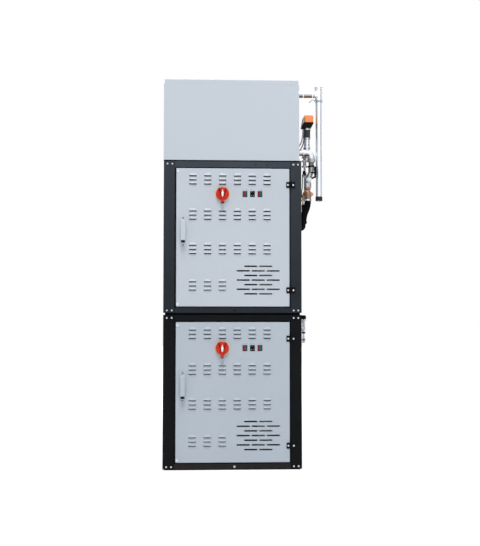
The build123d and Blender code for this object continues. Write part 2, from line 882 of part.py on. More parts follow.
# Overflow pipe: pushed into the tee up to its bead, open at both ends
with BuildPart() as overflow_pipe:
    with BuildSketch(Plane.XY.offset(overflow_end)):
        with Locations((overflow_x, pipe_y)):
            Circle(overflow_r)
    extrude(amount=overflow_len)
    with BuildSketch(Plane.XY.offset(tee_skirt - overflow_bead)):
        with Locations((overflow_x, pipe_y)):
            Circle(tee_rim_r - tee_wall)
    extrude(amount=overflow_bead)
    with BuildSketch(Plane.XY.offset(overflow_end)):
        with Locations((overflow_x, pipe_y)):
            Circle(overflow_r - overflow_wall)
    extrude(amount=overflow_len, mode=Mode.SUBTRACT)
save(overflow_pipe, "overflow_pipe")

# Rubber sleeve on the overflow's lower end
with BuildPart() as overflow_sleeve:
    with BuildSketch(Plane.XY.offset(overflow_end - sleeve_past)):
        with Locations((overflow_x, pipe_y)):
            Circle(overflow_r + seat_gap / 2 + sleeve_wall)
            Circle(overflow_r + seat_gap / 2, mode=Mode.SUBTRACT)
    extrude(amount=sleeve_h)
save(overflow_sleeve, "overflow_sleeve")

# Feed pipe: out of the tank and round a bend down to a union nut, with the stem
# of the motorised valve on top and the branch line's boss behind
with BuildPart() as feed_pipe:
    with BuildLine():
        FilletPolyline(
            (arm_start, pipe_y, feed_level),
            (feed_x, pipe_y, feed_level),
            (feed_x, pipe_y, union_bottom),
            radius=feed_bend_r,
        )
    with BuildSketch(Plane((arm_start, pipe_y, feed_level), z_dir=(1, 0, 0))):
        Circle(feed_r)
    sweep()
    with BuildSketch(Plane.XY.offset(union_bottom)):
        with Locations((feed_x, pipe_y)):
            Circle(union_r)
    extrude(amount=union_h)
    with BuildSketch(Plane.XY.offset(feed_level)):
        with Locations((stem_x, pipe_y)):
            Circle(stem_r)
    extrude(amount=stem_h)
    for ring_z in (feed_level + feed_r + stem_ring_h, stem_top - stem_ring_h):
        with BuildSketch(Plane.XY.offset(ring_z)):
            with Locations((stem_x, pipe_y)):
                Circle(stem_ring_r)
        extrude(amount=stem_ring_h)
    with BuildSketch(Plane.XZ.offset(-pipe_y)):
        with Locations((branch_x, feed_level)):
            Circle(branch_neck_r)
    extrude(amount=-(feed_r + branch_neck))
save(feed_pipe, "feed_pipe")

# Motorised valve on the stem: nut, collar, motor housing and cap
with BuildPart() as motor_nut:
    with BuildSketch(Plane.XY.offset(stem_top + seat_gap)):
        with Locations((stem_x, pipe_y)):
            RegularPolygon(nut_across / 2, 8, major_radius=False)
    extrude(amount=nut_h)
save(motor_nut, "motor_nut")

collar_bottom = stem_top + 2 * seat_gap + nut_h
with BuildPart() as motor_collar:
    with BuildSketch(Plane.XY.offset(collar_bottom)):
        with Locations((stem_x, pipe_y)):
            Circle(collar_r)
    extrude(amount=collar_h, taper=8)
save(motor_collar, "motor_collar")

motor_bottom = collar_bottom + collar_h + seat_gap
with BuildPart() as motor_housing:
    with BuildSketch(Plane.XZ.offset(-pipe_y + motor_d / 2)):
        with BuildLine():
            low_x = motor_x + motor_low_shift
            high_x = motor_x + motor_high_shift
            flank_x = motor_x - cap_w / 2 - seat_gap
            Polyline(
                (low_x - motor_w_low / 2, motor_bottom),
                (low_x + motor_w_low / 2, motor_bottom),
                (high_x + motor_w_high / 2, motor_bottom + motor_h),
                (flank_x, motor_bottom + motor_h),
                (flank_x, motor_bottom + motor_h + motor_flank_h),
                (flank_x - motor_flank_t, motor_bottom + motor_h + motor_flank_h),
                close=True,
            )
        make_face()
    extrude(amount=-motor_d)
save(motor_housing, "motor_housing")

cap_bottom = motor_bottom + motor_h + seat_gap
with BuildPart() as motor_cap:
    with BuildSketch(Plane.XY.offset(cap_bottom)):
        with Locations((motor_x, pipe_y)):
            RectangleRounded(cap_w, cap_d, cap_r)
    extrude(amount=cap_h)
    chamfer(motor_cap.faces().sort_by(Axis.Z)[-1].edges(), cap_edge)
save(motor_cap, "motor_cap")

# Clamp below the union, then the drop pipe and the ball valve with its spindle
clamp_bottom = union_bottom - clamp_drop - clamp_h / 2
with BuildPart() as pipe_clamp:
    with BuildSketch(Plane.XY.offset(clamp_bottom)):
        with Locations((feed_x, pipe_y)):
            Circle(clamp_r)
            Circle(drop_pipe_r + seat_gap, mode=Mode.SUBTRACT)
    extrude(amount=clamp_h)
save(pipe_clamp, "pipe_clamp")

spindle_reach = valve_ball_r + lever_stand
with BuildPart() as shut_off_valve:
    with BuildSketch(Plane.XY.offset(valve_top)):
        with Locations((feed_x, pipe_y)):
            Circle(drop_pipe_r)
    extrude(amount=drop_pipe_len - seat_gap)
    with BuildSketch(Plane.XY.offset(valve_top)):
        with Locations((feed_x, pipe_y)):
            Circle(drop_pipe_r)
    with BuildSketch(Plane.XY.offset(valve_mid)):
        with Locations((valve_x, pipe_y)):
            Circle(valve_ball_r)
    loft()
    with BuildSketch(Plane.XY.offset(valve_bottom)):
        with Locations((valve_x, pipe_y)):
            Circle(valve_waist_r)
    extrude(amount=valve_waist)
    with BuildSketch(Plane.XY.offset(valve_bottom - hex_h)):
        with Locations((valve_x, pipe_y)):
            RegularPolygon(hex_across / 2, 6, major_radius=False)
    extrude(amount=hex_h)
    with BuildSketch(Plane.XZ.offset(-pipe_y)):
        with Locations((valve_x, valve_mid)):
            Circle(lever_boss_r)
    extrude(amount=spindle_reach - lever_t - seat_gap)
    with BuildSketch(Plane.XZ.offset(-pipe_y)):
        with Locations((valve_x, valve_mid)):
            Circle(lever_spindle_r)
    extrude(amount=spindle_reach)
save(shut_off_valve, "shut_off_valve")

# Lever: hub on the spindle, an arm and a grip that stands in line with the open pipe
lever_plane = Plane(
    (valve_x, pipe_y - spindle_reach, valve_mid),
    x_dir=(cos(radians(lever_angle)), 0, sin(radians(lever_angle))),
    z_dir=(0, -1, 0),
)
grip_x = lever_grip * sin(radians(lever_angle))
grip_y = lever_grip * cos(radians(lever_angle))
with BuildPart() as valve_lever:
    with BuildSketch(lever_plane):
        Circle(lever_hub_r)
        with Locations((lever_len / 2, 0)):
            SlotCenterToCenter(lever_len, lever_w)
        with Locations((lever_len + grip_x / 2, grip_y / 2)):
            SlotCenterToCenter(lever_grip, lever_w, rotation=90 - lever_angle)
        Circle(lever_spindle_r + lever_fit, mode=Mode.SUBTRACT)
    extrude(amount=-lever_t)
save(valve_lever, "valve_lever")

# Brass check valve: thick in the middle, with its slanted bonnet
bonnet_level = check_bottom + check_bonnet_rise
bonnet_plane = Plane((valve_x, pipe_y, bonnet_level), x_dir=(0, 1, 0), z_dir=(1, 0, -0.9))
with BuildPart() as check_valve:
    with BuildSketch(Plane.XY.offset(check_bottom)):
        with Locations((valve_x, pipe_y)):
            Circle(check_end_r)
    extrude(amount=check_h)
    with BuildSketch(Plane.XY.offset(check_bottom + check_end_h)):
        with Locations((valve_x, pipe_y)):
            Circle(check_r)
    extrude(amount=check_h - 2 * check_end_h)
    with BuildSketch(bonnet_plane):
        Circle(check_branch_r)
    extrude(amount=check_branch)
save(check_valve, "check_valve")

# Feed hose from the check valve down to the upper cabinet's inlet elbow
hose_top = check_bottom - hose_straight
hose_low = hose_end + hose_straight
hose_drop = hose_top - hose_low
hose_side = valve_x - hose_x
hose_bend_r = (hose_drop**2 + hose_side**2) / (4 * hose_side)
hose_turn = degrees(2 * atan(hose_side / hose_drop))
with BuildPart() as feed_hose:
    with BuildLine(Plane.XZ.offset(-pipe_y)):
        Line((valve_x, check_bottom), (valve_x, hose_top))
        aside = JernArc((valve_x, hose_top), (0, -1), hose_bend_r, -hose_turn)
        upright = JernArc(aside @ 1, aside % 1, hose_bend_r, hose_turn)
        Line(upright @ 1, (hose_x, hose_end))
    with BuildSketch(Plane((valve_x, pipe_y, check_bottom), z_dir=(0, 0, -1))):
        Circle(hose_r)
    sweep()
save(feed_hose, "feed_hose")

clamp_places = (
    (valve_x, check_bottom - hose_clamp_drop),
    (hose_x, hose_end + hose_clamp_drop - hose_clamp_h),
)
with BuildPart() as hose_clamps:
    for clamp_x, clamp_z in clamp_places:
        with BuildSketch(Plane.XY.offset(clamp_z)):
            with Locations((clamp_x, pipe_y)):
                Circle(hose_r + seat_gap + hose_clamp_t)
                Circle(hose_r + seat_gap, mode=Mode.SUBTRACT)
        extrude(amount=hose_clamp_h)
save(hose_clamps, "hose_clamps")

# Inlet elbow: from the hose's end into the upper cabinet's side
port_end = panel_x - panel_t - port_inside
with BuildPart() as inlet_elbow:
    with BuildLine():
        FilletPolyline(
            (hose_x, pipe_y, hose_end),
            (hose_x, pipe_y, inlet_level),
            (port_end, pipe_y, inlet_level),
            radius=inlet_bend_r,
        )
    with BuildSketch(Plane((hose_x, pipe_y, hose_end), z_dir=(0, 0, -1))):
        Circle(inlet_r)
    sweep()
save(inlet_elbow, "inlet_elbow")

# Branch line behind the feed pipe: elbow block and small valve in brass
branch_start = pipe_y + feed_r + branch_neck
branch_top = feed_level - branch_block / 2
branch_bottom = branch_top - branch_body_h
with BuildPart() as branch_valve:
    with BuildSketch(Plane.XY.offset(branch_top)):
        with Locations((branch_x, branch_y)):
            Rectangle(branch_block, branch_block)
    extrude(amount=branch_block)
    with BuildSketch(Plane.XZ.offset(-branch_y)):
        with Locations((branch_x, feed_level)):
            Circle(branch_neck_r)
    extrude(amount=branch_y - branch_start)
    with BuildSketch(Plane.XY.offset(branch_bottom)):
        with Locations((branch_x, branch_y)):
            Circle(branch_body_r)
    extrude(amount=branch_body_h)
    for hex_z in (branch_bottom, branch_top - branch_body_h / 2, branch_top - branch_hex_h):
        with BuildSketch(Plane.XY.offset(hex_z)):
            with Locations((branch_x, branch_y)):
                RegularPolygon(branch_hex_across / 2, 6, major_radius=False)
        extrude(amount=branch_hex_h)
save(branch_valve, "branch_valve")

# Thin branch pipe: down and round a bend into the upper cabinet's side
with BuildPart() as branch_pipe:
    with BuildLine():
        FilletPolyline(
            (branch_x, branch_y, branch_bottom),
            (branch_x, branch_y, branch_level),
            (port_end, branch_y, branch_level),
            radius=branch_bend_r,
        )
    with BuildSketch(Plane((branch_x, branch_y, branch_bottom), z_dir=(0, 0, -1))):
        Circle(branch_pipe_r)
    sweep()
    with BuildSketch(Plane.YZ.offset(port_end + port_inside)):
        with Locations((branch_y, branch_level)):
            Circle(branch_port_r)
    extrude(amount=branch_port)
save(branch_pipe, "branch_pipe")

# Small valve on the lower cabinet's side with a round knob on top
tap_x = side_x + tap_out - tap_r
tap_rings = (
    tap_level - tap_tail,
    tap_level - tap_tail / 2,
    tap_level + tap_bonnet - tap_ring_drop,
)
with BuildPart() as side_tap:
    with BuildSketch(Plane.YZ.offset(port_end)):
        with Locations((tap_y, tap_level)):
            Circle(tap_r)
    extrude(amount=tap_x - port_end)
    with BuildSketch(Plane.XY.offset(tap_level - tap_tail)):
        with Locations((tap_x, tap_y)):
            Circle(tap_r)
    extrude(amount=tap_tail + tap_bonnet)
    for ring_z in tap_rings:
        with BuildSketch(Plane.XY.offset(ring_z)):
            with Locations((tap_x, tap_y)):
                RegularPolygon(tap_r + tap_ring_out, 6)
        extrude(amount=tap_ring_h)
    with BuildSketch(Plane.XY.offset(tap_level)):
        with Locations((tap_x, tap_y)):
            Circle(lever_spindle_r)
    extrude(amount=tap_bonnet + tap_knob_h / 2)
save(side_tap, "side_tap")

with BuildPart() as tap_knob:
    with BuildSketch(Plane.XY.offset(tap_level + tap_bonnet + seat_gap)):
        with Locations((tap_x, tap_y)):
            RegularPolygon(tap_knob_r, 8)
    extrude(amount=tap_knob_h)
    with BuildSketch(Plane.XY.offset(tap_level + tap_bonnet + seat_gap)):
        with Locations((tap_x, tap_y)):
            Circle(lever_spindle_r + lever_fit)
    extrude(amount=tap_knob_h / 2, mode=Mode.SUBTRACT)
save(tap_knob, "tap_knob")
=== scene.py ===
# %% [markdown]
# # An electric steam boiler plant
#
# Two equal steel cabinets stand on each other. Each holds one boiler behind a
# louvred door. A grey sheet-metal feed tank lies on top, and its pipes run down the
# right-hand side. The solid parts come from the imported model, true to size, and this
# lesson gives them their finish: paint, rolled edges, screws, lenses and pipe fittings.

import math

import bmesh
import bpy
from mathutils import Matrix, Vector
from mathutils.geometry import tessellate_polygon


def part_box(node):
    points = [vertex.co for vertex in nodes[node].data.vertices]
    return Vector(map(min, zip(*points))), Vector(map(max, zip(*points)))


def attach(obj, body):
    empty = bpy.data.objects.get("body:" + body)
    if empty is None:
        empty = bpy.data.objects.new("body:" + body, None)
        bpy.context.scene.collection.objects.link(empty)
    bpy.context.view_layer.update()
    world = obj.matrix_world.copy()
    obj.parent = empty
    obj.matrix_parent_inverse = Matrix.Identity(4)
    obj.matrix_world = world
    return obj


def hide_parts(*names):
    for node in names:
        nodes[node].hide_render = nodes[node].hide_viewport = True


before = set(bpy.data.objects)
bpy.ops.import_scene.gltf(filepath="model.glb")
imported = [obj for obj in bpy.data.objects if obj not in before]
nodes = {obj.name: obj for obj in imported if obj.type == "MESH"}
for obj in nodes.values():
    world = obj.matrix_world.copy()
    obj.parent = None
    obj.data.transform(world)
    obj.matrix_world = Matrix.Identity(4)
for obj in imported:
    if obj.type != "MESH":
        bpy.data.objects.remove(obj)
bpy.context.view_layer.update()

# %% [markdown]
# ## Heights that both cabinets share
#
# The two cabinets are the same unit, so every place on a door is given once, from
# the floor of its own cabinet, and the loops below add the level of that cabinet.
# The front plane is where the frame and the doors end towards the viewer. Directions
# get names too: fore is towards the viewer and aft is away.

# %% Places that repeat
units = ("lower", "upper")
post_low, post_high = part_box("lower_frame_posts")
unit_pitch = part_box("upper_frame_posts")[0].z - post_low.z
levels = {"lower": 0.0, "upper": unit_pitch}
front, back, side = post_low.y, post_high.y, post_high.x
door_low, door_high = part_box("lower_door")
up, down, right, left, fore, aft = (0, 0, 1), (0, 0, -1), (1, 0, 0), (-1, 0, 0), (0, -1, 0), (0, 1, 0)
print("cabinet pitch:", round(unit_pitch, 4), "front:", round(front, 3))

# %% [markdown]
# ## Camera
#
# The photo was taken from a little left of the middle, about chest-high to the lower
# door, with a long lens. The lens is given for the long side of the picture. A tilt
# of a few degrees brings the lid of the tank into view without showing its top.

# %% Set the camera


def link_object(name, data):
    """A new object in the scene that shows the given data."""
    made = bpy.data.objects.new(name, data)
    bpy.context.scene.collection.objects.link(made)
    return made


camera_data = bpy.data.cameras.new("camera")
camera = link_object("camera", camera_data)
camera.location = (-0.142, -4.796, 0.85)
camera.rotation_euler = [math.radians(turn) for turn in (92.53, -0.04, -2.37)]
camera_data.lens = 54.07
camera_data.sensor_width = 36.0
camera_data.clip_start, camera_data.clip_end = 0.05, 100.0
bpy.context.scene.camera = camera
bpy.context.scene.view_settings.view_transform = "Standard"
print("camera at", tuple(round(v, 3) for v in camera.location))

# %% [markdown]
# ## Colours as they read in a picture
#
# A colour picked from a photo is in the screen's own scale. Blender's shaders
# work with light, so each value is turned into light first. A small helper does it,
# and every finish below is then written in the numbers one would read off a screen.
# The other helpers put one shader node each into a material and wire it up.

# %% Helpers for colours and shader nodes


def tint(red, green, blue):
    """A screen colour, 0 to 255, as the light values that a shader takes."""
    out = []
    for value in (red, green, blue):
        share = value / 255
        out.append(share / 12.92 if share <= 0.04045 else ((share + 0.055) / 1.055) ** 2.4)
    return (*out, 1.0)


def add_node(tree, kind, values=None, wires=None, **options):
    """A new shader node with its options, its plain values and its wired inputs."""
    node = tree.nodes.new("ShaderNode" + kind)
    for name, option in options.items():
        setattr(node, name, option)
    for name, value in (values or {}).items():
        node.inputs[name].default_value = value
    for name, socket in (wires or {}).items():
        tree.links.new(socket, node.inputs[name])
    return node


def ramp(tree, value, start, end, low=0.0, high=1.0):
    """Maps start to end onto low to high, and holds the ends beyond that."""
    values = {"From Min": start, "From Max": end, "To Min": low, "To Max": high}
    return add_node(tree, "MapRange", values, {"Value": value}).outputs["Result"]


def combine(tree, operation, first, second):
    """Two values joined by a sum, a product or the like."""
    return add_node(tree, "Math", None, {0: first, 1: second}, operation=operation).outputs[0]


def place_on_piece(tree, stretch=(1.0, 1.0, 1.0)):
    """The point on the piece in metres, stretched for grain that runs one way."""
    where = add_node(tree, "TexCoord").outputs["Object"]
    return add_node(tree, "VectorMath", {1: stretch}, {0: where}, operation="MULTIPLY").outputs[0]


def axis(tree, vector, letter):
    """One of the three numbers of a point or direction."""
    return add_node(tree, "SeparateXYZ", None, {0: vector}).outputs[letter]


def noise(tree, point, size, detail):
    """Soft random grain; size is the width of one spot in metres."""
    values = {"Scale": 1.0 / size, "Detail": detail}
    return add_node(tree, "TexNoise", values, {"Vector": point}).outputs["Fac"]


print("white as light:", tint(255, 255, 255))

# %% [markdown]
# All finishes of the model follow one recipe: a colour that drifts to a second one, a
# roughness that varies over a small range, and a fine relief. Only the size of the
# grain and the measures differ between paint, metal and plastic.

# %% The recipe of a finish
noise_span = (0.3, 0.7)


def start_finish(name, colour, roughness, metal=0.0, gloss=0.3):
    """A new material with its plain settings on the shader itself."""
    finish = bpy.data.materials.new(name)
    finish.use_nodes = True
    shader = finish.node_tree.nodes["Principled BSDF"]
    shader.inputs["Base Color"].default_value = tint(*colour)
    shader.inputs["Roughness"].default_value = roughness
    shader.inputs["Metallic"].default_value = metal
    shader.inputs["Specular IOR Level"].default_value = gloss
    return finish, finish.node_tree, shader


def grained_finish(name, colours, rough, wide, fine=None, relief=(0.00004, 0.4), start=None,
                   fine_sheen=False, stretch=(1.0, 1.0, 1.0), metal=0.0, gloss=0.3):
    """A finish in two colours. Wide and fine are the size and detail of two noises.

    The wide one mixes the colours and, unless fine_sheen is set, spreads the roughness
    over the range rough. The fine one, or else the wide one, gives the relief.
    """
    finish, tree, shader = start_finish(name, colours[0], rough[0] if start is None else start, metal, gloss)
    point = place_on_piece(tree, stretch)
    spots = noise(tree, point, *wide)
    skin = noise(tree, point, *fine) if fine else spots
    values = {"A": tint(*colours[0]), "B": tint(*colours[1])}
    mixed = add_node(tree, "Mix", values, {"Factor": ramp(tree, spots, *noise_span)}, data_type="RGBA")
    tree.links.new(mixed.outputs["Result"], shader.inputs["Base Color"])
    sheen = ramp(tree, skin if fine_sheen else spots, *noise_span, *rough)
    tree.links.new(sheen, shader.inputs["Roughness"])
    bump = add_node(tree, "Bump", {"Distance": relief[0], "Strength": relief[1]}, {"Height": skin})
    tree.links.new(bump.outputs["Normal"], shader.inputs["Normal"])
    return finish, tree, shader


def lay_over(tree, shader, colour, share):
    """Lays one more colour over a finish where share is 1."""
    base = shader.inputs["Base Color"]
    wires = {"A": base.links[0].from_socket, "Factor": share}
    mixed = add_node(tree, "Mix", {"B": tint(*colour)}, wires, data_type="RGBA")
    tree.links.new(mixed.outputs["Result"], base)


print("recipe ready, noise is spread from", noise_span)

# %% [markdown]
# ## Powder coat on the casing
#
# The doors, side panels and tank are folded sheet with a light blue-grey powder
# coat. Powder melts in the oven into a skin with a very fine orange-peel, so a lamp
# is mirrored softly. The colour drifts a little from sheet to sheet. Two scales of
# noise do both jobs: wide spots for the drift and narrow ones for the skin.

# %% Casing paint


def casing_paint(name, colour, dusk):
    """Light powder coat; dusk is the second colour that the wide spots drift to."""
    wide, skin, peel = (0.45, 2.0), (0.0022, 2.0), (0.00006, 0.35)
    return grained_finish(name, (colour, dusk), (0.38, 0.5), wide, skin, peel, 0.42, fine_sheen=True)[0]


tank_paint = casing_paint("tank_paint", (203, 211, 220), (200, 208, 218))
panel_paint = casing_paint("panel_paint", (200, 207, 216), (195, 203, 212))
# Lit and shaded copies of one paint: the lower door is painted darker, as painted shade.
door_paints = {
    "lower": casing_paint("lower_door_paint", (188, 198, 208), (184, 194, 205)),
    "upper": casing_paint("upper_door_paint", (202, 210, 219), (198, 206, 216)),
}
print("casing paints:", tank_paint.name, panel_paint.name, *[paint.name for paint in door_paints.values()])

# %% [markdown]
# ## Black coat on the frame
#
# The frame is square tube and box section with a black satin coat, a touch blue. It
# stands on the floor and is handled with tools, so its roughness is uneven. Noise in
# the roughness shows in the reflections before it shows in the colour, as real wear
# does on dark paint. The two frames are lit and shaded copies of one black: the lower
# one is painted darker as painted shade, and the upper one is painted lighter towards
# its top as painted light.

# %% Frame and hinge black
top_light_heights = (0.95, 1.65)


def dark_coat(name, colour, worn, rough, spot, gloss=0.25, painted_top_light=None):
    """Dark paint or casting whose sheen varies in spots; the optional colour after gloss is painted light,
    laid on more towards the top.
    """
    wide, skin, peel = (spot, 5.0), (0.0018, 2.0), (0.00008, 0.5)
    finish, tree, shader = grained_finish(name, (colour, worn), rough, wide, skin, peel, gloss=gloss)
    if painted_top_light:
        lay_over(tree, shader, painted_top_light, ramp(tree, axis(tree, place_on_piece(tree), "Z"), *top_light_heights))
    return finish


# Lit and shaded copies of one black: the lower frame is darker as painted shade, and the upper one is lighter,
# more so towards its top, as painted light.
frame_paints = {
    "lower": dark_coat("lower_frame_paint", (16, 17, 20), (22, 24, 27), (0.5, 0.65), 0.12, 0.05),
    "upper": dark_coat("upper_frame_paint", (31, 36, 41), (37, 43, 49), (0.45, 0.6), 0.12, 0.12, (54, 60, 67)),
}
foot_rail_paint = dark_coat("foot_rail_paint", (31, 29, 28), (36, 34, 33), (0.45, 0.6), 0.12, 0.12)
# The top rail of the upper frame takes a lighter black: painted light.
top_rail_painted_light = dark_coat("top_rail_painted_light", (58, 66, 76), (64, 72, 82), (0.45, 0.6), 0.12, 0.12)
# Near black for the backs of the doors and their cut edges: painted shade that darkens the slots and the
# openings under the louvres.
door_back_shade = dark_coat("door_back_shade", (26, 29, 33), (34, 37, 41), (0.6, 0.75), 0.08, 0.04)
# Darker grey for the inside of the panels: painted shade inside the cabinets.
panel_inside_shade = dark_coat("panel_inside_shade", (84, 88, 94), (96, 100, 106), (0.5, 0.65), 0.1, 0.15)
plate_paint = dark_coat("plate_paint", (6, 6, 7), (12, 12, 13), (0.7, 0.85), 0.08, 0.05)
hinge_casting = dark_coat("hinge_casting", (10, 10, 12), (16, 16, 19), (0.4, 0.55), 0.02, 0.07)
switch_black = dark_coat("switch_black", (9, 9, 11), (15, 15, 18), (0.5, 0.6), 0.01, 0.06)
black_plastic = dark_coat("black_plastic", (10, 10, 12), (16, 16, 19), (0.42, 0.55), 0.01, 0.07)
grey_nut_plastic = dark_coat("grey_nut_plastic", (44, 48, 52), (58, 62, 66), (0.45, 0.6), 0.015)
grey_plastic = dark_coat("grey_plastic", (96, 98, 102), (82, 84, 88), (0.5, 0.62), 0.015)
print("dark finishes ready")

# %% [markdown]
# ## Bare metals
#
# The pipes are drawn stainless tube, the fittings are nickelled or raw pressed brass,
# and the screws are zinc plated. Drawing and brushing leave fine lines along the
# tube. Noise squeezed in one direction turns round grain into such lines. Raw brass
# from the press is dull and brownish, with darker patches. Near the tank the downward
# faces of the level pipes are painted brown: a painted reflection.

# %% Metals
underside_shade_normals = (0.25, -0.8)
underside_shade_ends = (0.462, 0.45)


def brushed_metal(name, colour, shade, rough, stretch=(1, 1, 1), depth=0.00003, metal=1.0):
    """Metal with fine lines along the axis that is squeezed least."""
    lines, relief = (0.004, 4.0), (depth, 0.4)
    return grained_finish(name, (colour, shade), rough, lines, None, relief, stretch=stretch, metal=metal)[0]


tube_steel = brushed_metal("tube_steel", (238, 242, 246), (222, 228, 235), (0.3, 0.42), (6, 6, 0.4), metal=0.9)
tree = tube_steel.node_tree
# Painted reflection: brown on the downward faces of the pipes near the tank.
underside = ramp(tree, axis(tree, add_node(tree, "NewGeometry").outputs["Normal"], "Z"), *underside_shade_normals)
near_tank = ramp(tree, axis(tree, place_on_piece(tree), "X"), *underside_shade_ends)
painted_reflection = combine(tree, "MULTIPLY", underside, near_tank)
lay_over(tree, tree.nodes["Principled BSDF"], (96, 64, 50), painted_reflection)
bead_steel = brushed_metal("bead_steel", (238, 242, 246), (214, 220, 228), (0.3, 0.42), metal=0.9)
fitting_nickel = brushed_metal("fitting_nickel", (198, 198, 199), (126, 129, 134), (0.25, 0.45), metal=0.75)
zinc = brushed_metal("zinc", (216, 219, 223), (176, 181, 188), (0.26, 0.42), metal=0.6)
raw_brass = brushed_metal("raw_brass", (210, 164, 132), (112, 76, 56), (0.36, 0.58), depth=1.2e-4, metal=0.7)
pale_brass = brushed_metal("pale_brass", (240, 222, 186), (206, 180, 140), (0.3, 0.45), depth=5e-5, metal=0.6)
cladding = brushed_metal("cladding", (214, 216, 219), (190, 193, 197), (0.25, 0.4), (1, 1, 6))
board_metal = brushed_metal("board_metal", (196, 198, 196), (176, 179, 178), (0.35, 0.5), (6, 1, 1))
print("metals ready")

# %% [markdown]
# ## Plastics, rubber and lenses
#
# Moulded plastic has one even colour and a faint grain from the mould. The emergency
# switch is glossy red on a yellow plate, so that it can be found at once. The rocker
# lenses are clear tinted plastic with a lamp behind, here unlit, and so they read as
# deep colour under a shiny skin.

# %% Plastics and rubber


def moulded(name, colour, shade, roughness, grain=0.0012, coat=0.0, gloss=0.3):
    """Moulded plastic or rubber with mould grain; coat adds a polished skin."""
    rough, spots = (roughness * 0.85, roughness * 1.2), (grain, 3.0)
    finish, _, shader = grained_finish(name, (colour, shade), rough, spots, start=roughness, gloss=gloss)
    shader.inputs["Coat Weight"].default_value = coat
    shader.inputs["Coat Roughness"].default_value = 0.08
    return finish


switch_yellow = moulded("switch_yellow", (248, 178, 56), (240, 166, 46), 0.35, coat=0.1)
switch_red = moulded("switch_red", (214, 42, 22), (200, 34, 20), 0.36)
deep_red = moulded("deep_red", (86, 8, 8), (70, 6, 6), 0.4, gloss=0.1)
shaded_red = moulded("shaded_red", (140, 10, 8), (120, 8, 6), 0.4, gloss=0.1)
mark_white = moulded("mark_white", (250, 250, 249), (240, 240, 239), 0.4)
mark_grey = moulded("mark_grey", (128, 134, 142), (118, 124, 132), 0.5)
lens_red = moulded("lens_red", (158, 20, 30), (136, 14, 24), 0.3, coat=0.04)
lens_green = moulded("lens_green", (16, 92, 80), (12, 78, 68), 0.3, coat=0.04)
motor_orange = moulded("motor_orange", (255, 162, 104), (250, 150, 92), 0.42)
hose_rubber = moulded("hose_rubber", (7, 7, 9), (12, 13, 14), 0.6, 0.003, gloss=0.04)
sleeve_rubber = moulded("sleeve_rubber", (52, 54, 58), (40, 42, 46), 0.5, 0.003, gloss=0.1)
conduit_grey = moulded("conduit_grey", (176, 178, 182), (150, 152, 158), 0.5)
cable_black = moulded("cable_black", (38, 40, 44), (28, 30, 33), 0.5)
print("plastics ready")

# %% [markdown]
# ## A finish for every solid part
#
# Each part of the imported model takes one of the finishes. The edges of real sheet
# and tube are never knife-sharp: a small bevel catches the light and makes the
# outline readable. The parts arrive as separate triangles, so a weld joins them, flat
# neighbours are dissolved, and then the bevel rounds what is left as a true edge.
# Some faces take a second finish: the inside of the panels, darker as painted shade;
# the top rail of the upper frame, lighter as painted light; the bottom rail of the
# lower frame, a lighter and warmer black; and the left flank of the motor.

# %% Dress the imported parts


def round_edges(part, width, segments=2, angle=32.0):
    """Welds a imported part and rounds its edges, without touching its own points."""
    weld = part.modifiers.new("join_triangles", "WELD")
    weld.merge_threshold = 0.00002
    flat = part.modifiers.new("dissolve_flats", "DECIMATE")
    flat.decimate_type = "DISSOLVE"
    flat.angle_limit = math.radians(0.4)
    bevel = part.modifiers.new("rounded_edges", "BEVEL")
    bevel.width = width
    bevel.segments = segments
    bevel.limit_method = "ANGLE"
    bevel.angle_limit = math.radians(angle)
    shade = part.modifiers.new("flat_faces_stay_flat", "WEIGHTED_NORMAL")
    shade.mode = "FACE_AREA"
    shade.weight = 50
    shade.keep_sharp = True
    for face in part.data.polygons:
        face.use_smooth = True


def dress(name, finish, bevel):
    """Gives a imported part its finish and, where it has sharp edges, a bevel."""
    part = nodes[name]
    part.data.materials.clear()
    part.data.materials.append(finish)
    if bevel:
        round_edges(part, bevel)


def second_finish(name, finish, chosen):
    """A second finish for the faces whose middle and normal pass the test chosen."""
    part = nodes[name]
    part.data.materials.append(finish)
    for face in part.data.polygons:
        if chosen(part.matrix_world @ face.center, face.normal):
            face.material_index = 1


